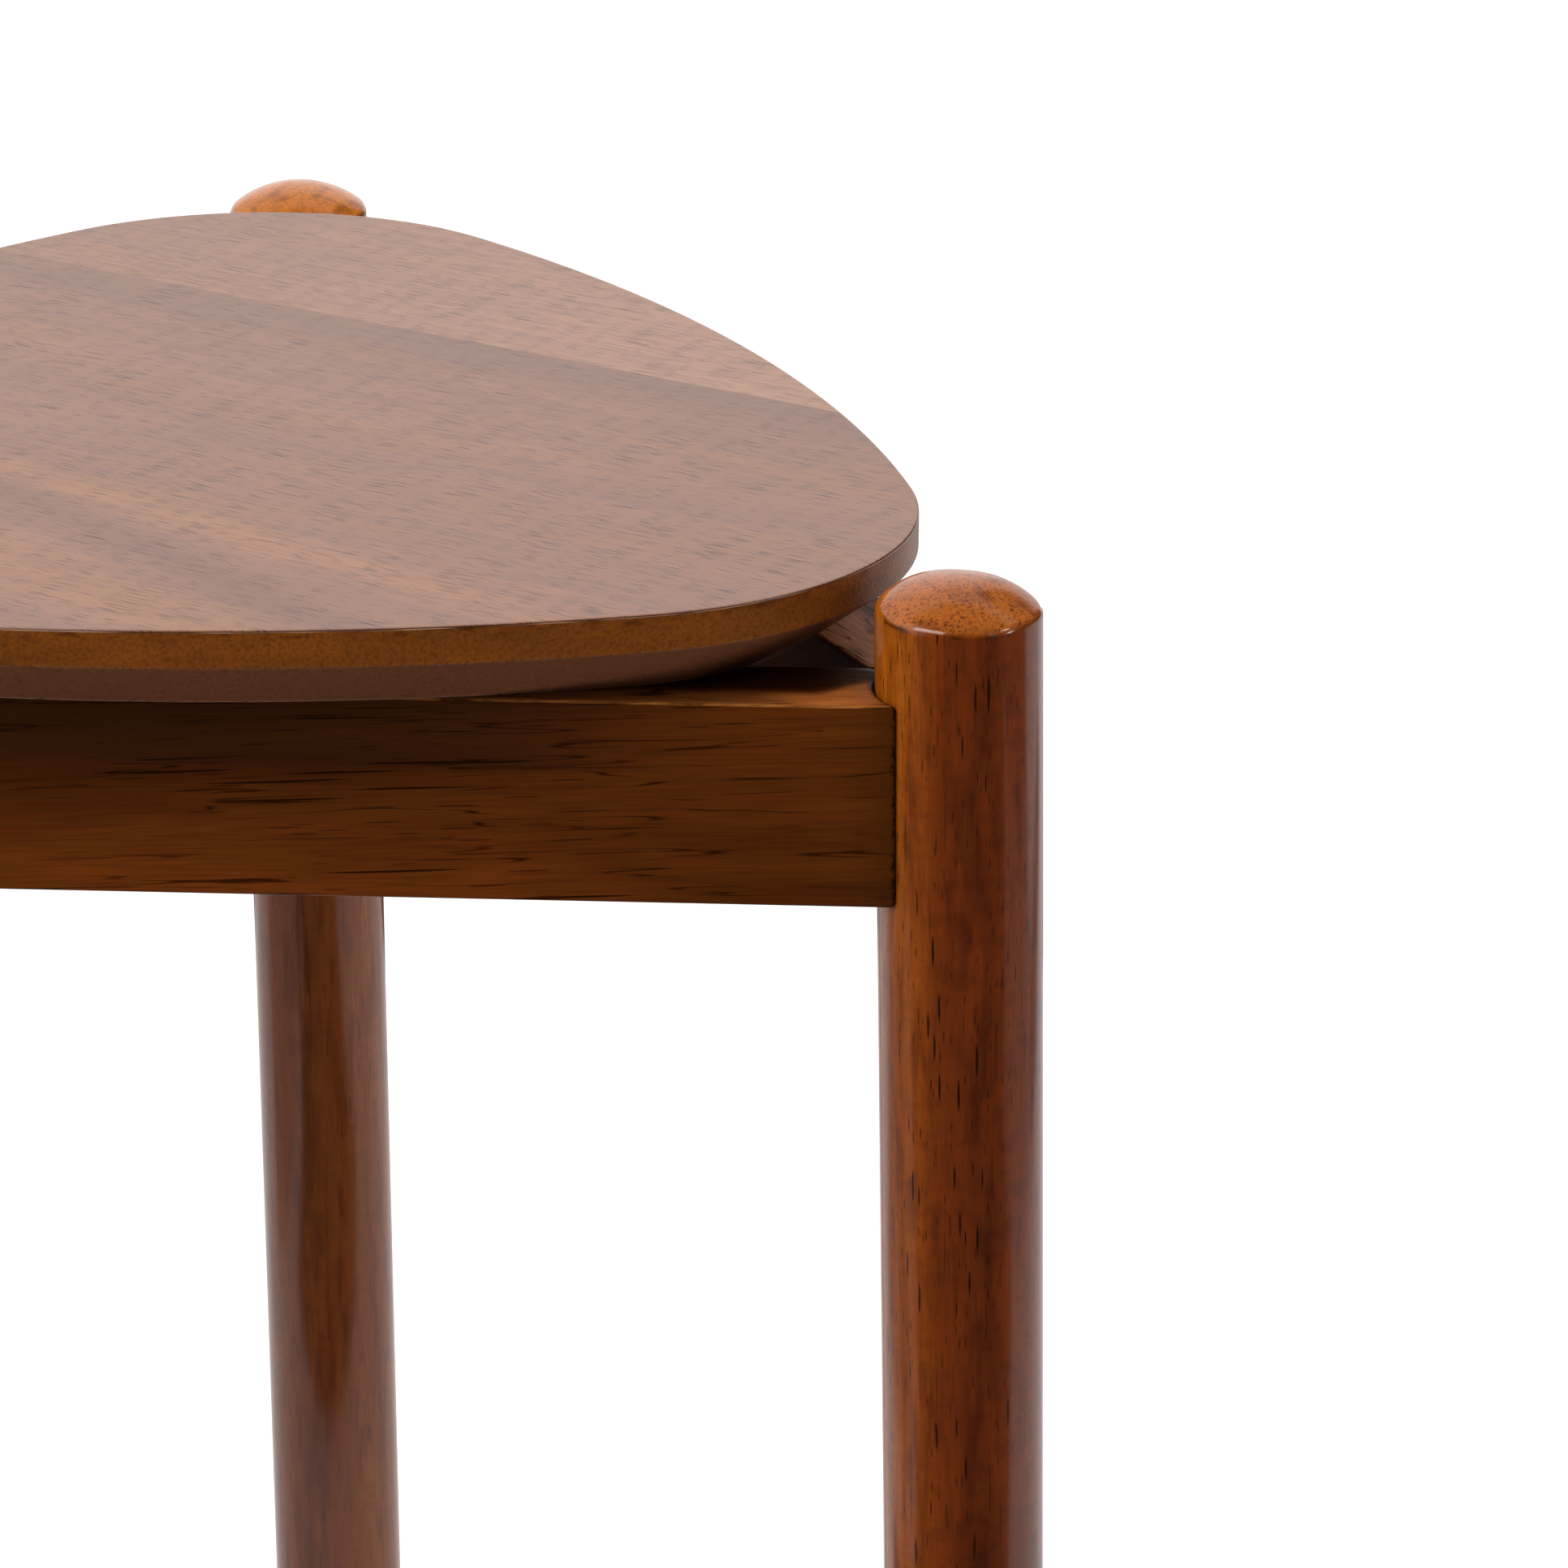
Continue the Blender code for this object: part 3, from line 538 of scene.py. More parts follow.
BRACKET_GAP = 0.0003  # between the bracket and what it is screwed to
BRACKET_THICKNESS = 0.002
SCREW_SETBACK = 0.013  # from the bracket's corner to its screws
SCREW_SPACING = 0.022
SCREW_LENGTH = 0.016
PILOT_RADIUS = 0.0019
PILOT_DEPTH = 0.0165  # from the underside of the screw's head
PILOT_LEAD = 0.001  # the cutter starts this far beyond it
RAIL_GRAIN_CLIMB = radians(-2.6)  # along the rail
# Tones of each rail: ground, nearer the legs, and on the upper face beside the leg and under the board. The
# tone nearer the legs and the one beside the leg are painted light; the one under the board is painted shadow
# of the board on the front and left rails and painted light on the right rail
RAIL_TONES = {
    "front": ("51270A", "6C340C", "C46F32", "1C0C05"),
    "right": ("51270A", "6C340C", "D08C5C", "D69068"),
    "left": ("51270A", "6C340C", "8E5628", "4A2812"),
}
# Tones of the inside faces: the second, nearer the legs, is darker as painted shade in the corner between the
# rails
BARE_TONES = ("4A2812", "1E0E06", "4A2812", "4A2812")


def leg_place(down):
    """Where a leg's axis lies outside a rail's line and along it, at a depth below the top of the rails."""
    reach = LEG_CIRCLE + down * tan(LEG_LEAN)
    return reach * cos(RAIL_TO_LEG) - RAIL_LINE, reach * sin(RAIL_TO_LEG)


def rail_end(out, down):
    """How far a rail reaches along itself, at a distance outside its line and a depth below its top.

    It stops at the nearer of the leg's cylinder and the upright plane through the table's and the leg's axes,
    each a glue gap away.
    """
    leg_out, leg_along = leg_place(down)
    to_leg = leg_along - np.sqrt(SCRIBE_RADIUS ** 2 - (out - leg_out) ** 2)
    to_mitre = ((out + RAIL_LINE) * sin(RAIL_TO_LEG) - GLUE_GAP / 2) / cos(RAIL_TO_LEG)
    return np.minimum(to_leg, to_mitre)


def mitre_start(down):
    """Distance outside the rail's line where its end turns from the scribe to the mitre."""
    inwards = pi + RAIL_TO_LEG + asin(GLUE_GAP / 2 / SCRIBE_RADIUS)
    return leg_place(down)[0] + SCRIBE_RADIUS * cos(inwards)


def rounded_arris(x, z, start):
    """Points and outward directions of a quarter circle that turns clockwise from a direction in degrees."""
    angles = np.radians(start - np.linspace(0, 90, ARRIS_POINTS))
    outwards = np.stack([np.cos(angles), np.sin(angles)], axis=-1)
    return np.array([x, z]) + RAIL_ARRIS * outwards, outwards


def flat_side(x, z, outwards):
    """Points and outward directions of a side between two arrises."""
    points = np.stack(np.broadcast_arrays(x, z), axis=-1)
    return points, np.broadcast_to(outwards, points.shape)


def rail_section():
    """Points and outward directions of a rounded rectangle: down the outer face, in under the rail, and back.

    The faces above and below have a point where the mitre starts, so that this corner is a row of the mesh.
    """
    outer, inner = RAIL_OUTER - RAIL_ARRIS, RAIL_INNER + RAIL_ARRIS
    upper, lower = -RAIL_ARRIS, RAIL_ARRIS - RAIL_HEIGHT
    downwards = np.array([upper - FACE_EDGE_ROW, (upper + lower) / 2, lower + FACE_EDGE_ROW])
    above, below = [
        np.append(np.linspace(outer - LEVEL_EDGE_ROW, turn, LEVEL_ROWS), (turn + inner) / 2)
        for turn in (mitre_start(0), mitre_start(RAIL_HEIGHT))
    ]
    sides = (
        rounded_arris(outer, upper, 90), flat_side(RAIL_OUTER, downwards, (1, 0)),
        rounded_arris(outer, lower, 0), flat_side(below, -RAIL_HEIGHT, (0, -1)),
        rounded_arris(inner, lower, -90), flat_side(RAIL_INNER, downwards[::-1], (-1, 0)),
        rounded_arris(inner, upper, -180), flat_side(above[::-1], 0, (0, 1)),
    )
    return [np.concatenate(parts) for parts in zip(*sides)]


def rail_rings():
    """The section carried along the rail from end to end.

    At the ends it draws in by a quarter circle, which eases the edge, and then shrinks to a point of the
    corner where the mitre starts, staying on the scribed or mitred face.
    """
    section, normals = rail_section()
    angles = np.linspace(0, pi / 2, EASING_RINGS)[:, None]
    eased = section - RAIL_END_EASING * (1 - np.sin(angles[..., None])) * normals
    corner = np.array([mitre_start(RAIL_HEIGHT / 2), -RAIL_HEIGHT / 2])
    end_face = corner + np.array(END_FACE_SHARES)[:, None, None] * (eased[0] - corner)
    loops = np.concatenate([end_face, eased])
    ends = rail_end(loops[..., 0], -loops[..., 1])
    ends[len(end_face):] -= RAIL_END_EASING * (1 - np.cos(angles))
    reach = rail_end(section[:, 0], -section[:, 1]) - RAIL_END_EASING
    between = np.linspace(-RAIL_RING_SPAN, RAIL_RING_SPAN, RAIL_RINGS)[:, None] * reach
    along = np.concatenate([-ends, between, ends[::-1]])
    across = np.concatenate([loops, np.broadcast_to(section, (RAIL_RINGS, *section.shape)), loops[::-1]])
    return np.stack([across[..., 0], along, across[..., 1]], axis=-1)


def planed_hardwood(name, tones, roughness, specular_level):
    """Open-pored hardwood, planed and stained brown, with or without satin lacquer.

    The eye gets long, fine, dark pore lines that rise along the rail. Away from the legs the wood is darkened
    at the top as painted shadow of the board and paler at the bottom as painted light, and nearer the legs it
    takes another tone, painted light on the lacquered faces and painted shade on the inside face. A pale
    arris on top is partly rubbed wear and partly a painted highlight. The upper face has painted light in
    front of the board and beside the leg, and under the board a tone that stands for its shadow on the front
    and left rails and for light on the right rail. A little painted shade lies beside the leg, and a
    near-black line of stain and glue lies where the rail meets its leg.
    """
    material, own = new_finish(name, "grain")
    ground, nearer_leg, beside_leg, under_board = tones
    climbing = add_node(own, "Mapping", {"Vector": own, "Rotation": (RAIL_GRAIN_CLIMB, 0, 0)})[0]
    where = wavy(climbing, (0.03, 0.11, 0.03), (0.0015, 0.0, 0.0022))
    broad = marks(where, (0.014, 0.17, 0.012), 0.4, 0.66)
    light = marks(where, (0.02, 0.12, 0.016), 0.5, 0.7)
    fibres = marks(where, (0.0007, 0.02, 0.0007), 0.35, 0.75)
    crowd = marks(where, (0.02, 0.07, 0.01), 0.22, 0.42, detail=0.0)
    # Hairlines wander along the grain where noise passes through its middle value
    breaks = marks(where, (0.004, 0.028, 0.0016), 0.46, 0.54, detail=1.0)
    noise = figure("TexNoise", where, (0.006, 0.08, 0.003), {"Detail": 1.0})
    hairlines = both(stripe(noise[0], 0.5, 0.022), both(breaks, crowd))
    lines = both(dashes(where, (0.0011, 0.06, 0.0011), 0.92, 0.34), crowd)
    short_pores = dashes(where, (0.0008, 0.02, 0.0008), 0.7, 0.32)
    # Stain and glue darken the eased edge at the leg
    to_end = add_node(own, "Attribute", attribute_name="to_end")["Fac"]
    ragged = marks(own, (0.0012, 0.0012, 0.0016), 0.3, 0.7)
    edge = add_node(own, "Math", {0: ragged, 1: -0.0012, 2: to_end}, operation="MULTIPLY_ADD")
    at_leg = ramp(edge[0], 0.0012, -0.0002)
    # Painted shade darkens the rail a little beside the leg; further towards the legs the tone changes, as
    # painted light on the lacquered faces and painted shade on the inside face
    shade_beside_leg = ramp(to_end, 0.014, 0.0)
    towards_leg = ramp(to_end, 0.16, 0.02)
    # Away from the legs the bar is darkened at the top as painted shadow of the board's overhang, and made
    # paler at the bottom as painted light
    drifting = wavy(own, (0.03, 0.08, 0.03), (0.0, 0.0, 0.0016))
    level = add_node(own, "SeparateXYZ", {0: drifting})[2]
    away = ramp(to_end, 0.03, 0.1)
    painted_board_shadow = both(away, ramp(level, -0.0195, -0.0165))
    painted_low_light = both(away, ramp(level, -0.02, -0.052))
    # The upper face has painted light in front of the board and beside the leg, and a painted tone under the
    # board:
    # its shadow on the front and left rails, light on the right rail. Near the leg the edge between them
    # moves back
    up = upness(own)
    upper_face = ramp(up, 0.6, 0.95)
    outwards = add_node(own, "SeparateXYZ", {0: own})[0]
    widening = ramp(to_end, -0.004, 0.016, 0.0105, 0.0)
    reach = add_node(own, "Math", {0: widening, 1: outwards}, operation="ADD")[0]
    painted_lit_face = both(upper_face, ramp(reach, 0.0045, 0.0095))
    painted_light_beside_leg = both(painted_lit_face, ramp(to_end, 0.034, 0.01))
    painted_under_board = both(upper_face, ramp(reach, 0.0075, 0.002))
    # A pale line along the top outer arris: partly rubbed wear, partly a painted highlight
    rubbed = marks(where, (0.003, 0.008, 0.003), 0.36, 0.56)
    arris_wear_and_highlight = both(both(stripe(up, 0.62, 0.36), ramp(outwards, 0.01, 0.0125)), rubbed)
    colour = painted(
        ground,
        (towards_leg, 0.6, nearer_leg),
        (light, 0.5, "703A12"),
        (broad, 0.55, "371806"),
        (painted_board_shadow, 0.55, "2E190E"),
        (painted_low_light, 0.52, "823E10"),
        (painted_lit_face, 0.6, "8E5628"),
        (painted_light_beside_leg, 0.85, beside_leg),
        (painted_under_board, 0.85, under_board),
        (arris_wear_and_highlight, 0.75, "C07A3C"),
        (fibres, 0.42, "301405"),
        (short_pores, 0.7, "240D04"),
        (hairlines, 0.85, "1C0802"),
        (lines, 0.9, "180702"),
        (shade_beside_leg, 0.3, "3A2008"),
        (at_leg, 0.92, "0C0402"),
    )
    return surface(
        material, colour, roughness, lines, -0.0001, IOR=1.5, Specular_Tint=linear("F09048"),
        Specular_IOR_Level=ramp(up, 0.5, 0.9, specular_level, 0.05),
    )


def screw_seats(flange):
    """Where the undersides of a bracket's two screw heads lie in the rail's frame, and the way they point."""
    corner = RAIL_INNER - BRACKET_GAP
    head = BRACKET_THICKNESS + BRACKET_GAP
    if flange == "top":
        seat, way = (corner - SCREW_SETBACK, 0, -head), (0, 0, 1)
    else:
        seat, way = (corner - head, 0, -SCREW_SETBACK), (1, 0, 0)
    return [np.array(seat) + (0, side * SCREW_SPACING / 2, 0) for side in (1, -1)], np.array(way)


def pilot_holes(flange, rail_frame):
    """The bars of the pilot holes of the screws through one flange."""
    seats, way = screw_seats(flange)
    bars = []
    for seat in seats:
        start, end = placed(np.array([seat + PILOT_LEAD * way, seat + PILOT_DEPTH * way]), rail_frame)
        bars.append((start, end, PILOT_RADIUS))
    return bars


bare_inside = planed_hardwood("hardwood_planed_thin_stain_bare", BARE_TONES, 0.8, 0.05)
rail_frames = {name: frame_at(outwards, RAIL_LINE, RAIL_TOP) for name, outwards in RAIL_DIRECTIONS.items()}
for number, (rail_name, rail_frame) in enumerate(rail_frames.items(), 1):
    rail = skin("planed_rail_" + rail_name, placed(rail_rings(), rail_frame))
    bore(rail, dowel_holes(f"dowel_{rail_name}_rail_") + pilot_holes("rail", rail_frame))
    keep_grain(rail, rail_frame, (0, GRAIN_SHIFT * number, 0))
    own = own_places(rail, rail_frame)
    to_end = rail.data.attributes.new("to_end", "FLOAT", "POINT")
    to_end.data.foreach_set("value", (rail_end(own[:, 0], -own[:, 2]) - abs(own[:, 1])).astype(np.float32))
    lacquered = planed_hardwood(
        "hardwood_planed_dark_stain_satin_lacquer_" + rail_name, RAIL_TONES[rail_name], 0.4, 0.25
    )
    finished(rail, lacquered, "rail_wood", "rail_" + rail_name)
    # The inside face got stain but no lacquer
    rail.data.materials.append(bare_inside)
    facing = np.empty(len(rail.data.polygons) * 3)
    rail.data.polygons.foreach_get("normal", facing)
    inside = (facing.reshape(-1, 3) @ rail_frame[0])[:, 0] < -0.9
    rail.data.polygons.foreach_set("material_index", inside.astype(np.int32))


# Board: a fibreboard core, shaped to a rounded triangle, with a straight band round its edge and a bevel
# under it. Its edge is stained amber and its bevel sprayed taupe.
BOARD_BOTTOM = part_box("top_backing")[0][2]
BOARD_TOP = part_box("top_veneer")[1][2]
BOARD_HEIGHT = BOARD_TOP - BOARD_BOTTOM
THIRD = radians(120)
CORNER_RADIUS = 0.0828
CORNER_CENTRE = 0.122273  # table's axis to the centre of a corner's arc
CORNER_POINTS = 56
SIDE_RADIUS = 0.46
SIDE_SETBACK = 0.300895  # table's axis to the centre of a side's arc, behind it
SIDE_POINTS = 64
VENEER = 0.0006
BAND_HEIGHT = 0.0094
BAND_ROW = 0.0008  # the band has a row this far from its upper and lower edges
BEVEL_INSET = 0.0217
BEVEL_ROWS = (1, 0.96, 0.5, 0.06)  # shares of the bevel, from its foot to the crease
CREASE_RADIUS = 0.001
CREASE_ROWS = 9
FACE_ROW = 0.001  # a flat face has a row this far inside its edge
FACE_LAST_ROW = 0.06  # and its last one this far inside


def board_rings(profile):
    """The board's outline at each inset and height of a profile.

    The outline is six tangent arcs, and an inset shortens every arc's radius and keeps its centre.
    """
    tangent = atan2(SIDE_SETBACK * sin(THIRD / 2), CORNER_CENTRE + SIDE_SETBACK * cos(THIRD / 2))
    centres, arms = [], []
    for towards_leg in LEG_DIRECTIONS.values():
        for direction, reach, radius, sweep, count in (
            (towards_leg, CORNER_CENTRE, CORNER_RADIUS, tangent, CORNER_POINTS),
            (towards_leg + THIRD / 2, -SIDE_SETBACK, SIDE_RADIUS, THIRD / 2 - tangent, SIDE_POINTS),
        ):
            angles = direction + np.linspace(-sweep, sweep, count, endpoint=False)
            centre = [reach * cos(direction), reach * sin(direction), radius]
            centres.append(np.tile(centre, (count, 1)))
            arms.append(np.stack([np.cos(angles), np.sin(angles)], axis=-1))
    centres, arms = np.concatenate(centres), np.concatenate(arms)
    inset, height = np.array(profile).T[:, :, None]
    flat = centres[:, :2] + (centres[:, 2:] - inset[..., None]) * arms
    level = np.broadcast_to((BOARD_BOTTOM + height)[..., None], flat.shape[:2] + (1,))
    return np.concatenate([flat, level], axis=-1) + TABLE_AXIS


def core_profile():
    """Inset and height of the core: flat underside, bevel, rounded crease, straight band, flat top."""
    crease = BOARD_HEIGHT - BAND_HEIGHT
    slope = atan2(BEVEL_INSET, crease)
    foot = BEVEL_INSET * (1 - VENEER / crease)
    bevel = [(foot * share, crease - (crease - VENEER) * share) for share in BEVEL_ROWS]
    arc_height = crease + CREASE_RADIUS * tan(slope / 2)
    arc = np.linspace(slope, 0, CREASE_ROWS)
    rounding = np.stack([1 - np.cos(arc), -np.sin(arc)], axis=-1) * CREASE_RADIUS + (0, arc_height)
    top = BOARD_HEIGHT - VENEER
    return np.concatenate([
        [(FACE_LAST_ROW, VENEER), (foot + FACE_ROW, VENEER)],
        bevel,
        rounding,
        [(0, arc_height + BAND_ROW), (0, top - BAND_ROW), (0, top), (FACE_ROW, top), (FACE_LAST_ROW, top)],
    ])


def stained_fibreboard():
    """Fibreboard, routed and sanded. The band is stained amber, the bevel is sprayed an even taupe brown.

    The eye gets fine specks of pressed fibres, and clouds and dark smudges of stain on the band.
    """
    material, own = new_finish("fibreboard_edge_stained_and_lacquered")
    level = add_node(own, "SeparateXYZ", {0: own})[2]
    crease = BOARD_TOP - BAND_HEIGHT
    on_band = ramp(level, crease - 0.0002, crease + 0.0006, course="LINEAR")
    near_top = ramp(level, BOARD_TOP - 0.0032, BOARD_TOP - 0.0006, course="LINEAR")
    specks = marks(own, 0.0009, 0.42, 0.72)
    cloud = marks(own, (0.03, 0.03, 0.006), 0.35, 0.7)
    smudge = marks(own, (0.006, 0.006, 0.002), 0.5, 0.66)
    colour = painted(
        "784B33",
        (on_band, 1.0, "7E4414"),
        (both(cloud, on_band), 0.45, "5A2E10"),
        (specks, 0.55, "42200C"),
        (both(smudge, near_top), 0.75, "3A1A0A"),
    )
    return surface(
        material, colour, 0.38, specks, -0.00004,
        IOR=1.5, Specular_IOR_Level=0.3, Specular_Tint=linear("F0A058"),
    )


core = skin("shaped_board_core", board_rings(core_profile()))
bore(core, [bar for rail_frame in rail_frames.values() for bar in pilot_holes("top", rail_frame)])
finished(core, stained_fibreboard(), "painted_board", "top_core")


# Face veneer: two leaves of sliced walnut-like wood laid edge to edge, trimmed with the core, its upper edge
# eased with fine paper, then stained and lacquered satin.
VENEER_EASING = 0.0005
VENEER_EASING_ROWS = 6
LEAF_JOINT = 0.1  # across the grain, from the table's axis
GRAIN_TURN = radians(30)  # the grain runs this far clockwise from +X


def veneer_profile():
    """Inset and height of the veneer, with its upper edge a quarter circle."""
    arc = np.linspace(0, pi / 2, VENEER_EASING_ROWS)
    easing = (0, BOARD_HEIGHT) + np.stack([1 - np.cos(arc), np.sin(arc) - 1], axis=-1) * VENEER_EASING
    under = BOARD_HEIGHT - VENEER
    return np.concatenate([
        [(FACE_LAST_ROW, under), (FACE_ROW, under), (0, under)],
        easing,
        [(VENEER_EASING + BAND_ROW, BOARD_HEIGHT), (FACE_LAST_ROW, BOARD_HEIGHT)],
    ])


def leaning(along, across, slope):
    """Distance from a line through the table's axis that leaves the grain by a slope."""
    return add_node(along, "Math", {0: along, 1: slope, 2: across}, operation="MULTIPLY_ADD")[0]


def sliced_veneer():
    """Sliced veneer, stained mid brown under satin lacquer.

    The eye gets a straight joint with a calm, lighter leaf behind it, soft brown and golden stripes along the
    grain, fine pore lines, a broken ribbon figure, and a thin dark line round the edge.
    """
    material, own = new_finish("walnut_veneer_sliced_stained_satin_lacquer")
    centred = add_node(own, "VectorMath", {0: own, 1: TABLE_AXIS.tolist()}, operation="SUBTRACT")[0]
    grain = add_node(own, "Mapping", {"Vector": centred, "Rotation": (0, 0, GRAIN_TURN)})[0]
    where = wavy(grain, (0.2, 0.05, 1.0), (0.0, 0.004, 0.0))
    wavy_along, wavy_across, _ = add_node(own, "SeparateXYZ", {0: where})
    along, across, _ = add_node(own, "SeparateXYZ", {0: grain})
    back_leaf = ramp(across, LEAF_JOINT - 0.0002, LEAF_JOINT + 0.0002, course="LINEAR")
    front_leaf = ramp(across, LEAF_JOINT + 0.0002, LEAF_JOINT - 0.0002, course="LINEAR")
    # The dark stripe along the joint belongs to the front leaf, and the back leaf is paler towards the right
    joint_stripe = both(stripe(wavy_across, LEAF_JOINT - 0.006, 0.024), front_leaf)
    joint_dark = both(joint_stripe, ramp(along, -0.2, 0.06, 0.45, 1.0))
    pale_leaf = both(back_leaf, ramp(along, -0.16, 0.14, 0.2, 1.0))
    # Stripes at the front turn away from the grain
    steeply, gently = [leaning(wavy_along, wavy_across, slope) for slope in (0.28, 0.11)]
    front_dark = stripe(steeply, -0.07, 0.016)
    front_light = stripe(steeply, -0.1, 0.024)
    mid_light = stripe(gently, -0.0565, 0.012)
    bands = marks(where, (0.26, 0.013, 1.0), 0.4, 0.66)
    lights = marks(where, (0.2, 0.02, 1.0), 0.5, 0.7)
    golden = marks(where, (0.11, 0.016, 1.0), 0.48, 0.68)
    ribbon = marks(where, (0.018, 0.0013, 1.0), 0.5, 0.72)
    clouds = marks(where, (0.022, 0.0042, 1.0), 0.46, 0.7)
    mottle = marks(where, (0.0045, 0.008, 1.0), 0.45, 0.7, detail=1.0)
    crowd = marks(where, (0.06, 0.012, 1.0), 0.34, 0.6)
    pores = both(dashes(where, (0.019, 0.0009, 1.0), 0.85, 0.25, flat=True), crowd)
    fine_pores = dashes(where, (0.009, 0.0006, 1.0), 0.85, 0.32, flat=True)
    fibres = marks(where, (0.02, 0.0007, 1.0), 0.35, 0.75)
    # The eased edge is polished by handling, and a broken pale line runs along it below its dark line
    height = add_node(own, "SeparateXYZ", {0: own})[2]
    cut_edge = ramp(height, BOARD_TOP - 0.0001, BOARD_TOP - 0.0002, course="LINEAR")
    rubbed = marks(own, 0.02, 0.4, 0.6)
    pale_edge_line = both(rubbed, stripe(height, BOARD_TOP - 0.0005, 0.00022))
    gloss = ramp(cut_edge, 0.0, 1.0, 0.4, 0.2, "LINEAR")
    colour = painted(
        "90634D",
        (lights, 0.35, "9C6B4A"),
        (bands, 0.45, "815849"),
        (golden, 0.45, "94653C"),
        (mid_light, 0.6, "A67049"),
        (front_dark, 0.78, "7A5241"),
        (front_light, 0.55, "A06C40"),
        (joint_dark, 0.78, "7B5546"),
        (pale_leaf, 0.85, "AF8164"),
        (both(mottle, back_leaf), 0.25, "8E614B"),
        (clouds, 0.3, "765342"),
        (ribbon, 0.32, "6D493B"),
        (fibres, 0.4, "694537"),
        (fine_pores, 0.8, "452A20"),
        (pores, 0.9, "301E17"),
        (cut_edge, 0.85, "3A1A0B"),
        (pale_edge_line, 0.85, "C09478"),
    )
    return surface(material, colour, gloss, pores, -0.00004, IOR=1.5, Specular_IOR_Level=0.32)


veneer = skin("face_veneer", board_rings(veneer_profile()))
finished(veneer, sliced_veneer(), "walnut_veneer", "top_veneer")


# Balancing veneer on the underside: it keeps its CAD solid. It is the same wood, sealed but not stained as
# dark, with the grain running as on the face.


def sealed_veneer():
    """Sliced veneer with one sealing coat: plain, matt and paler, with open pores."""
    material, own = new_finish("walnut_veneer_sliced_sealed")
    grain = add_node(own, "Mapping", {"Vector": own, "Rotation": (0, 0, GRAIN_TURN)})[0]
    where = wavy(grain, (0.16, 0.045, 1.0), (0.0, 0.006, 0.0))
    bands = marks(where, (0.24, 0.012, 1.0), 0.38, 0.64)
    fibres = marks(where, (0.015, 0.0006, 1.0), 0.35, 0.75)
    pores = marks(where, (0.006, 0.0005, 1.0), 0.58, 0.66, detail=1.0)
    colour = painted("8A6248", (bands, 0.45, "74503A"), (fibres, 0.3, "5E3F2E"), (pores, 0.65, "3C261C"))
    return surface(material, colour, 0.6, pores, -0.00004, IOR=1.5)


own_finish("top_backing", sealed_veneer())


# Brackets and screws: three steel angles hold the board to the rails, each with four pan-head screws. The
# brackets keep their CAD solids. The screws get their rolled thread and the cross recess of their heads.
SCREW_POINTS = 64
SCREW_HEAD_RADIUS = 0.004
SCREW_HEAD_RIM = 0.001
SCREW_HEAD_EASING = 0.0001
SCREW_CROWN = 0.0014
CROWN_START = 0.05  # angle of the smallest ring round the head's middle
CROWN_RINGS = 26
RECESS_ARM = 0.0019  # from the head's middle
RECESS_HALF_WIDTH = 0.00045
RECESS_DEPTH = 0.0013
RECESS_SIDE_SLOPE = 0.0002  # width of the slope at the sides of an arm
RECESS_END_SLOPE = 0.0004  # and at its end
THREAD_CREST = 0.0017
THREAD_ROOT = 0.00125
THREAD_PITCH = 0.0014
THREAD_START = 0.0012  # plain neck under the head
THREAD_RISE = 0.001  # length over which the thread rises from the neck
THREAD_STEEPNESS = 1.5
THREAD_RINGS = 112
NECK_FILLET = 0.0003
SCREW_POINT = 0.004


def screw_rings():
    """A circle carried from the crown of the head to the point, with +Z along the screw and 0 under the head.

    The crown is a quarter ellipse, pushed in where two crossed arms lie. On the shank the radius follows a
    ridge that climbs one pitch in a turn, and shrinks to the point.
    """
    angles = np.linspace(0, tau, SCREW_POINTS, endpoint=False)
    share = np.sin(np.linspace(CROWN_START, pi / 2, CROWN_RINGS))[:, None]
    crown = SCREW_HEAD_RADIUS * share + 0 * angles
    off_arm = np.minimum(abs(crown * np.cos(angles)), abs(crown * np.sin(angles)))
    recess = (
        np.clip((RECESS_HALF_WIDTH - off_arm) / RECESS_SIDE_SLOPE, 0, 1)
        * np.clip((RECESS_ARM - crown) / RECESS_END_SLOPE, 0, 1)
    )
    crown_height = -SCREW_HEAD_RIM - SCREW_CROWN * np.sqrt(1 - share ** 2) + RECESS_DEPTH * recess
    rim = np.array([
        [SCREW_HEAD_RADIUS, -SCREW_HEAD_RIM / 2], [SCREW_HEAD_RADIUS, -SCREW_HEAD_EASING],
        [SCREW_HEAD_RADIUS - SCREW_HEAD_EASING, 0], [THREAD_ROOT + NECK_FILLET, 0],
    ])
    along = np.linspace(NECK_FILLET, SCREW_LENGTH, THREAD_RINGS)[:, None]
    turn = (along / THREAD_PITCH - angles / tau) % 1
    rise = np.clip((along - THREAD_START) / THREAD_RISE, 0, 1)
    ridge = np.clip(1 - THREAD_STEEPNESS * abs(2 * turn - 1), 0, 1) * rise
    taper = np.clip((SCREW_LENGTH + NECK_FILLET - along) / SCREW_POINT, 0, 1)
    shank = (THREAD_ROOT + (THREAD_CREST - THREAD_ROOT) * ridge) * taper
    radius = np.concatenate([crown, rim[:, :1] + 0 * angles, shank])
    height = np.concatenate([crown_height, rim[:, 1:] + 0 * angles, along + 0 * angles])
    return np.stack([radius * np.cos(angles), radius * np.sin(angles), height], axis=-1)


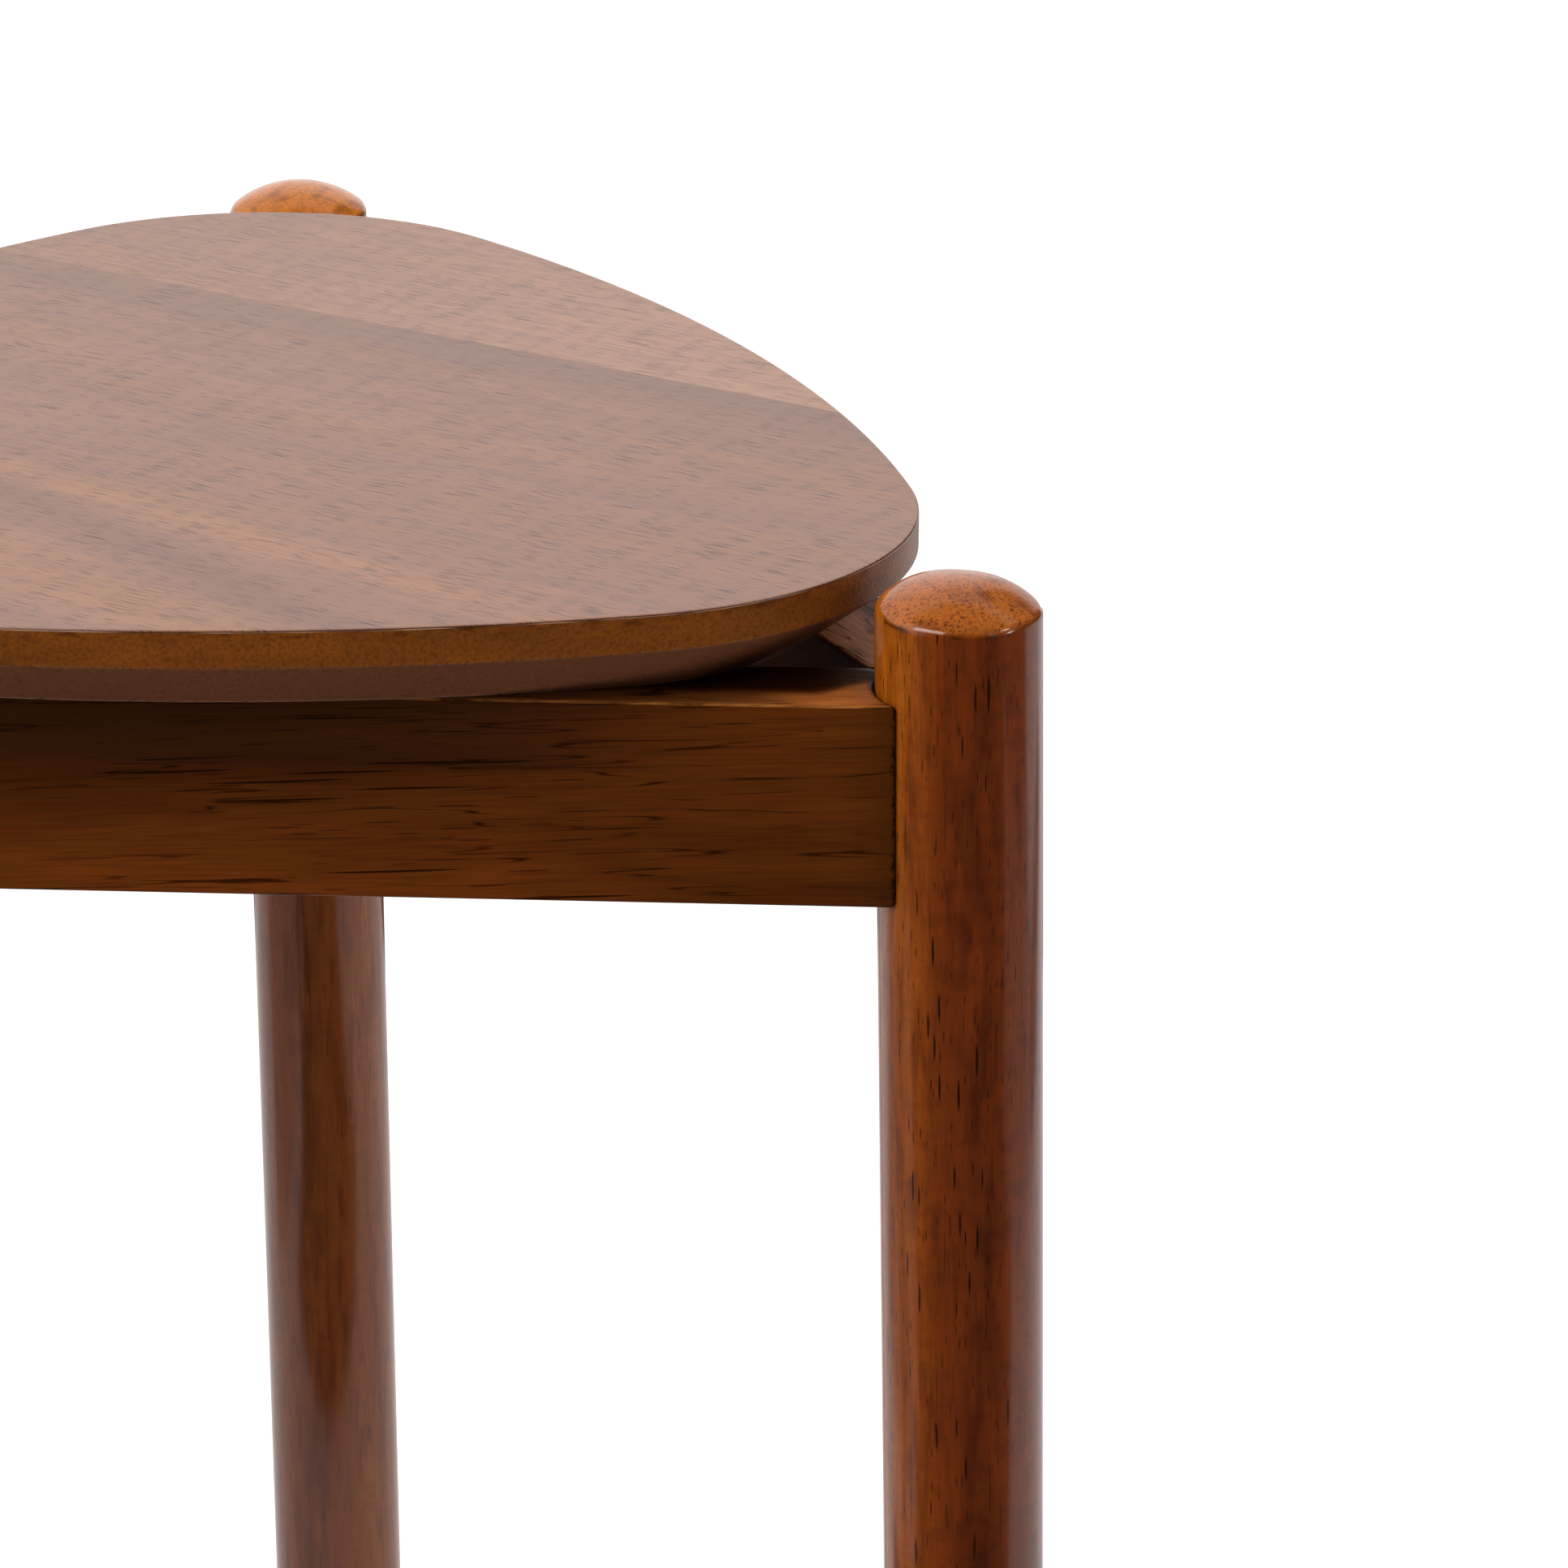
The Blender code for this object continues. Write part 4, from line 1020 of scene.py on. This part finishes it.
for rail_name, rail_frame in rail_frames.items():
    own_finish("bracket_" + rail_name, steel)
    for flange in ("top", "rail"):
        seats, way = screw_seats(flange)
        # A screw that points outwards is the upright one turned over its side
        turn = np.eye(3) if way[2] else np.array([[0, 0, 1], [0, 1, 0], [-1, 0, 0]])
        for number, seat in enumerate(seats, 1):
            label = f"{rail_name}_bracket_{flange}_{number}"
            rings = placed(screw_rings() @ turn.T + seat, rail_frame)
            screw = skin("threaded_screw_" + label, rings)
            finished(screw, steel, "plated_steel", "screw_" + label)


# Floor: a plain pale studio floor that runs far behind the table. It stays white to the camera and in
# reflections, and keeps the table's soft shadow.
FLOOR_RADIUS = 20.0
FLOOR_THICKNESS = 0.02
FLOOR_POINTS = 64
FLOOR_GLOW = 0.55


def seen_rays(beside):
    """1 for rays of the camera, of a glossy reflection or through a clear body, 0 for the rest."""
    path = add_node(beside, "LightPath")
    seen = path["Is Camera Ray"]
    for kind in ("Is Glossy Ray", "Is Transmission Ray"):
        seen = add_node(seen, "Math", {0: seen, 1: path[kind]}, operation="MAXIMUM")[0]
    return seen


def pale_floor():
    """Matt pale floor paint, with a little light of its own for the camera."""
    material, own = new_finish("floor_matt_pale_paint")
    unevenness = marks(own, 0.6, 0.3, 0.7)
    return surface(
        material, painted("D2D2D2", (unevenness, 0.2, "CECECE")), 0.9, Specular_IOR_Level=0.0,
        Emission_Color=(1.0, 1.0, 1.0, 1.0), Emission_Strength=both(seen_rays(own), FLOOR_GLOW),
    )


floor = skin("floor", turned([(FLOOR_RADIUS, -FLOOR_THICKNESS), (FLOOR_RADIUS, 0)], FLOOR_POINTS))
floor.data.materials.append(pale_floor())


# Flags: black and grey cloths round the table. One lies on the floor in front, hangs behind the camera and
# runs on overhead, and smaller ones lie to the sides, under and behind. They show only in reflections, and
# keep the white studio out of the lacquer that faces the camera.
FLAG_THICKNESS = 0.002
HANGING_FLAGS = {
    # folds of each cloth: one end, the other end, and the way of its thickness
    "flag_front": (
        ((-0.75, -0.36, 0.004), (1.1, -0.36, 0.004), (0, 0, 1)),
        ((-2.2, -2.4, 0.004), (2.8, -2.4, 0.004), (0, 0, 1)),
        ((-2.3, -2.7, 0.3), (2.8, -2.7, 0.3), (0, 1, 0)),
        ((-2.3, -2.7, 4.0), (2.8, -2.7, 4.0), (0, 1, 0)),
        ((-2.3, 1.2, 4.0), (2.8, 1.2, 4.0), (0, 0, -1)),
    ),
    "flag_right": (
        ((1.45, -2.4, 0.008), (1.45, 0.2, 0.008), (0, 0, 1)),
        ((2.85, -2.4, 0.008), (2.85, 0.2, 0.008), (0, 0, 1)),
        ((2.9, -2.4, 0.05), (2.9, 1.4, 0.05), (-1, 0, 0)),
        ((2.9, -2.4, 4.0), (2.9, 1.4, 4.0), (-1, 0, 0)),
    ),
    "flag_right_behind": (
        ((2.9, 1.4, 0.05), (1.3, 2.65, 0.05), (-1, 0, 0)),
        ((2.9, 1.4, 4.0), (1.3, 2.65, 4.0), (-1, 0, 0)),
    ),
}
LYING_FLAGS = {
    # from and to along X, from and to along Y, and the height above the floor
    "flag_right_back": (0.92, 1.14, 0.2, 0.8, 0.01),
    "flag_under": (-0.22, 0.35, -0.45, 0.02, 0.01),
    "flag_behind": (-1.0, 0.48, 0.75, 1.6, 0.012),
    "flag_left": (-2.6, -0.75, -2.4, 0.75, 0.008),
    "grey_flag_left": (-0.75, -0.3, -0.45, 0.22, 0.01),
    "grey_flag_right": (0.95, 1.44, -0.6, 0.2, 0.012),
}


def lying(left, right, near, far, height):
    """The two folds of a cloth that lies flat."""
    return [((x, near, height), (x, far, height), (0, 0, 1)) for x in (left, right)]


def flag_rings(folds):
    """The cross-cut of the cloth, its two ends and their thickness, carried from fold to fold."""
    one_end, other_end, thick_way = np.array(folds, dtype=float).transpose(1, 0, 2)
    thick = thick_way * FLAG_THICKNESS
    return np.stack([one_end, other_end, other_end + thick, one_end + thick], axis=1)


def cotton(name, ground, thread):
    """Matt cotton with the fine unevenness of its weave."""
    material, own = new_finish(name)
    weave = marks(own, 0.004, 0.4, 0.6)
    return surface(material, painted(ground, (weave, 0.5, thread)), 0.95, Specular_IOR_Level=0.0)


black_cloth = cotton("cotton_woven_black", "0A0A0A", "121212")
grey_cloth = cotton("cotton_woven_grey", "B4B4B4", "BABABA")
flag_folds = {**HANGING_FLAGS, **{name: lying(*extent) for name, extent in LYING_FLAGS.items()}}
for flag_name, folds in flag_folds.items():
    flag = skin(flag_name, flag_rings(folds))
    flag.data.materials.append(grey_cloth if flag_name.startswith("grey") else black_cloth)
    for rays in ("camera", "diffuse", "transmission", "shadow"):
        setattr(flag, "visible_" + rays, False)


# Studio light: a white room that is dark towards the camera, large softboxes overhead and behind, and smaller
# ones to the left and right, which glint on the shoulders of the legs and on the edge of the board.
FRONT_GLOW = 0.15
ROOM_GLOW = 0.9
LEFT_SHARE = 1.1  # of the room's glow
RIGHT_SHARE = 0.9
LAMP_AIM = (0.0, -0.05, 0.48)
SOFTBOXES = (
    # name, place, width, height, power in watts, seen in reflections
    ("softbox_overhead", (0.0, 0.3, 1.9), 1.4, 1.4, 6.8, False),
    ("softbox_back", (-0.2, 2.2, 1.35), 1.7, 2.0, 5.2, True),
    ("softbox_front_left", (-0.62, -0.96, 1.32), 1.1, 0.5, 10.6, True),
    ("softbox_right", (2.1, -0.8, 0.9), 0.25, 0.25, 5.0, True),
    ("softbox_right_high", (1.75, -0.65, 1.9), 0.25, 0.25, 3.0, True),
)

world = bpy.data.worlds.new("studio")
scene.world = world
world.use_nodes = True
sky = world.node_tree
sky.nodes.clear()
gaze = add_node(sky, "TexCoord")["Generated"]
rightwards, backwards, _ = add_node(sky, "SeparateXYZ", {0: gaze})
room_glow = both(
    ramp(backwards, -0.9, 0.3, FRONT_GLOW, ROOM_GLOW),
    ramp(rightwards, -1.0, 1.0, LEFT_SHARE, RIGHT_SHARE, "LINEAR"),
)
strength = add_node(sky, "Mix", {0: seen_rays(sky), 2: room_glow, 3: 1.0})[0]
background = add_node(sky, "Background", {"Color": (1.0, 1.0, 1.0, 1.0), "Strength": strength})
add_node(sky, "OutputWorld", {"Surface": background[0]})

for lamp_name, place, width, height, power, in_reflections in SOFTBOXES:
    lamp = bpy.data.lights.new(lamp_name, "AREA")
    lamp.shape = "RECTANGLE"
    lamp.size = width
    lamp.size_y = height
    lamp.energy = power
    softbox = bpy.data.objects.new(lamp_name, lamp)
    softbox.visible_camera = False
    softbox.visible_glossy = in_reflections
    scene.collection.objects.link(softbox)
    aim = np.array(LAMP_AIM) - np.array(place)
    softbox.location = place
    softbox.rotation_euler = (acos(-aim[2] / np.linalg.norm(aim)), 0, atan2(aim[1], aim[0]) - pi / 2)


# Camera: a long lens that looks down on the right-hand half of the table from the front.
CAMERA_PLACE = (0.21037, -1.432212, 0.933158)
CAMERA_DOWN = 0.3667
CAMERA_YAW = 0.0412
CAMERA_ROLL = 0.0055
SENSOR_WIDTH = 36.0
FOCAL_LENGTH = 130.18
lens = bpy.data.cameras.new("long_lens")
lens.sensor_width = SENSOR_WIDTH
lens.lens = FOCAL_LENGTH
camera = bpy.data.objects.new("camera", lens)
scene.collection.objects.link(camera)
ahead = np.array([-sin(CAMERA_YAW), cos(CAMERA_YAW), 0])
level = np.array([cos(CAMERA_YAW), sin(CAMERA_YAW), 0])
upright = np.array([0, 0, 1])
sight = ahead * cos(CAMERA_DOWN) - upright * sin(CAMERA_DOWN)
over = upright * cos(CAMERA_DOWN) + ahead * sin(CAMERA_DOWN)
right = level * cos(CAMERA_ROLL) + over * sin(CAMERA_ROLL)
above = over * cos(CAMERA_ROLL) - level * sin(CAMERA_ROLL)
stance = np.eye(4)
stance[:3] = np.column_stack([right, above, -sight, CAMERA_PLACE])
camera.matrix_world = Matrix(stance)
scene.camera = camera
scene.view_settings.view_transform = "Standard"
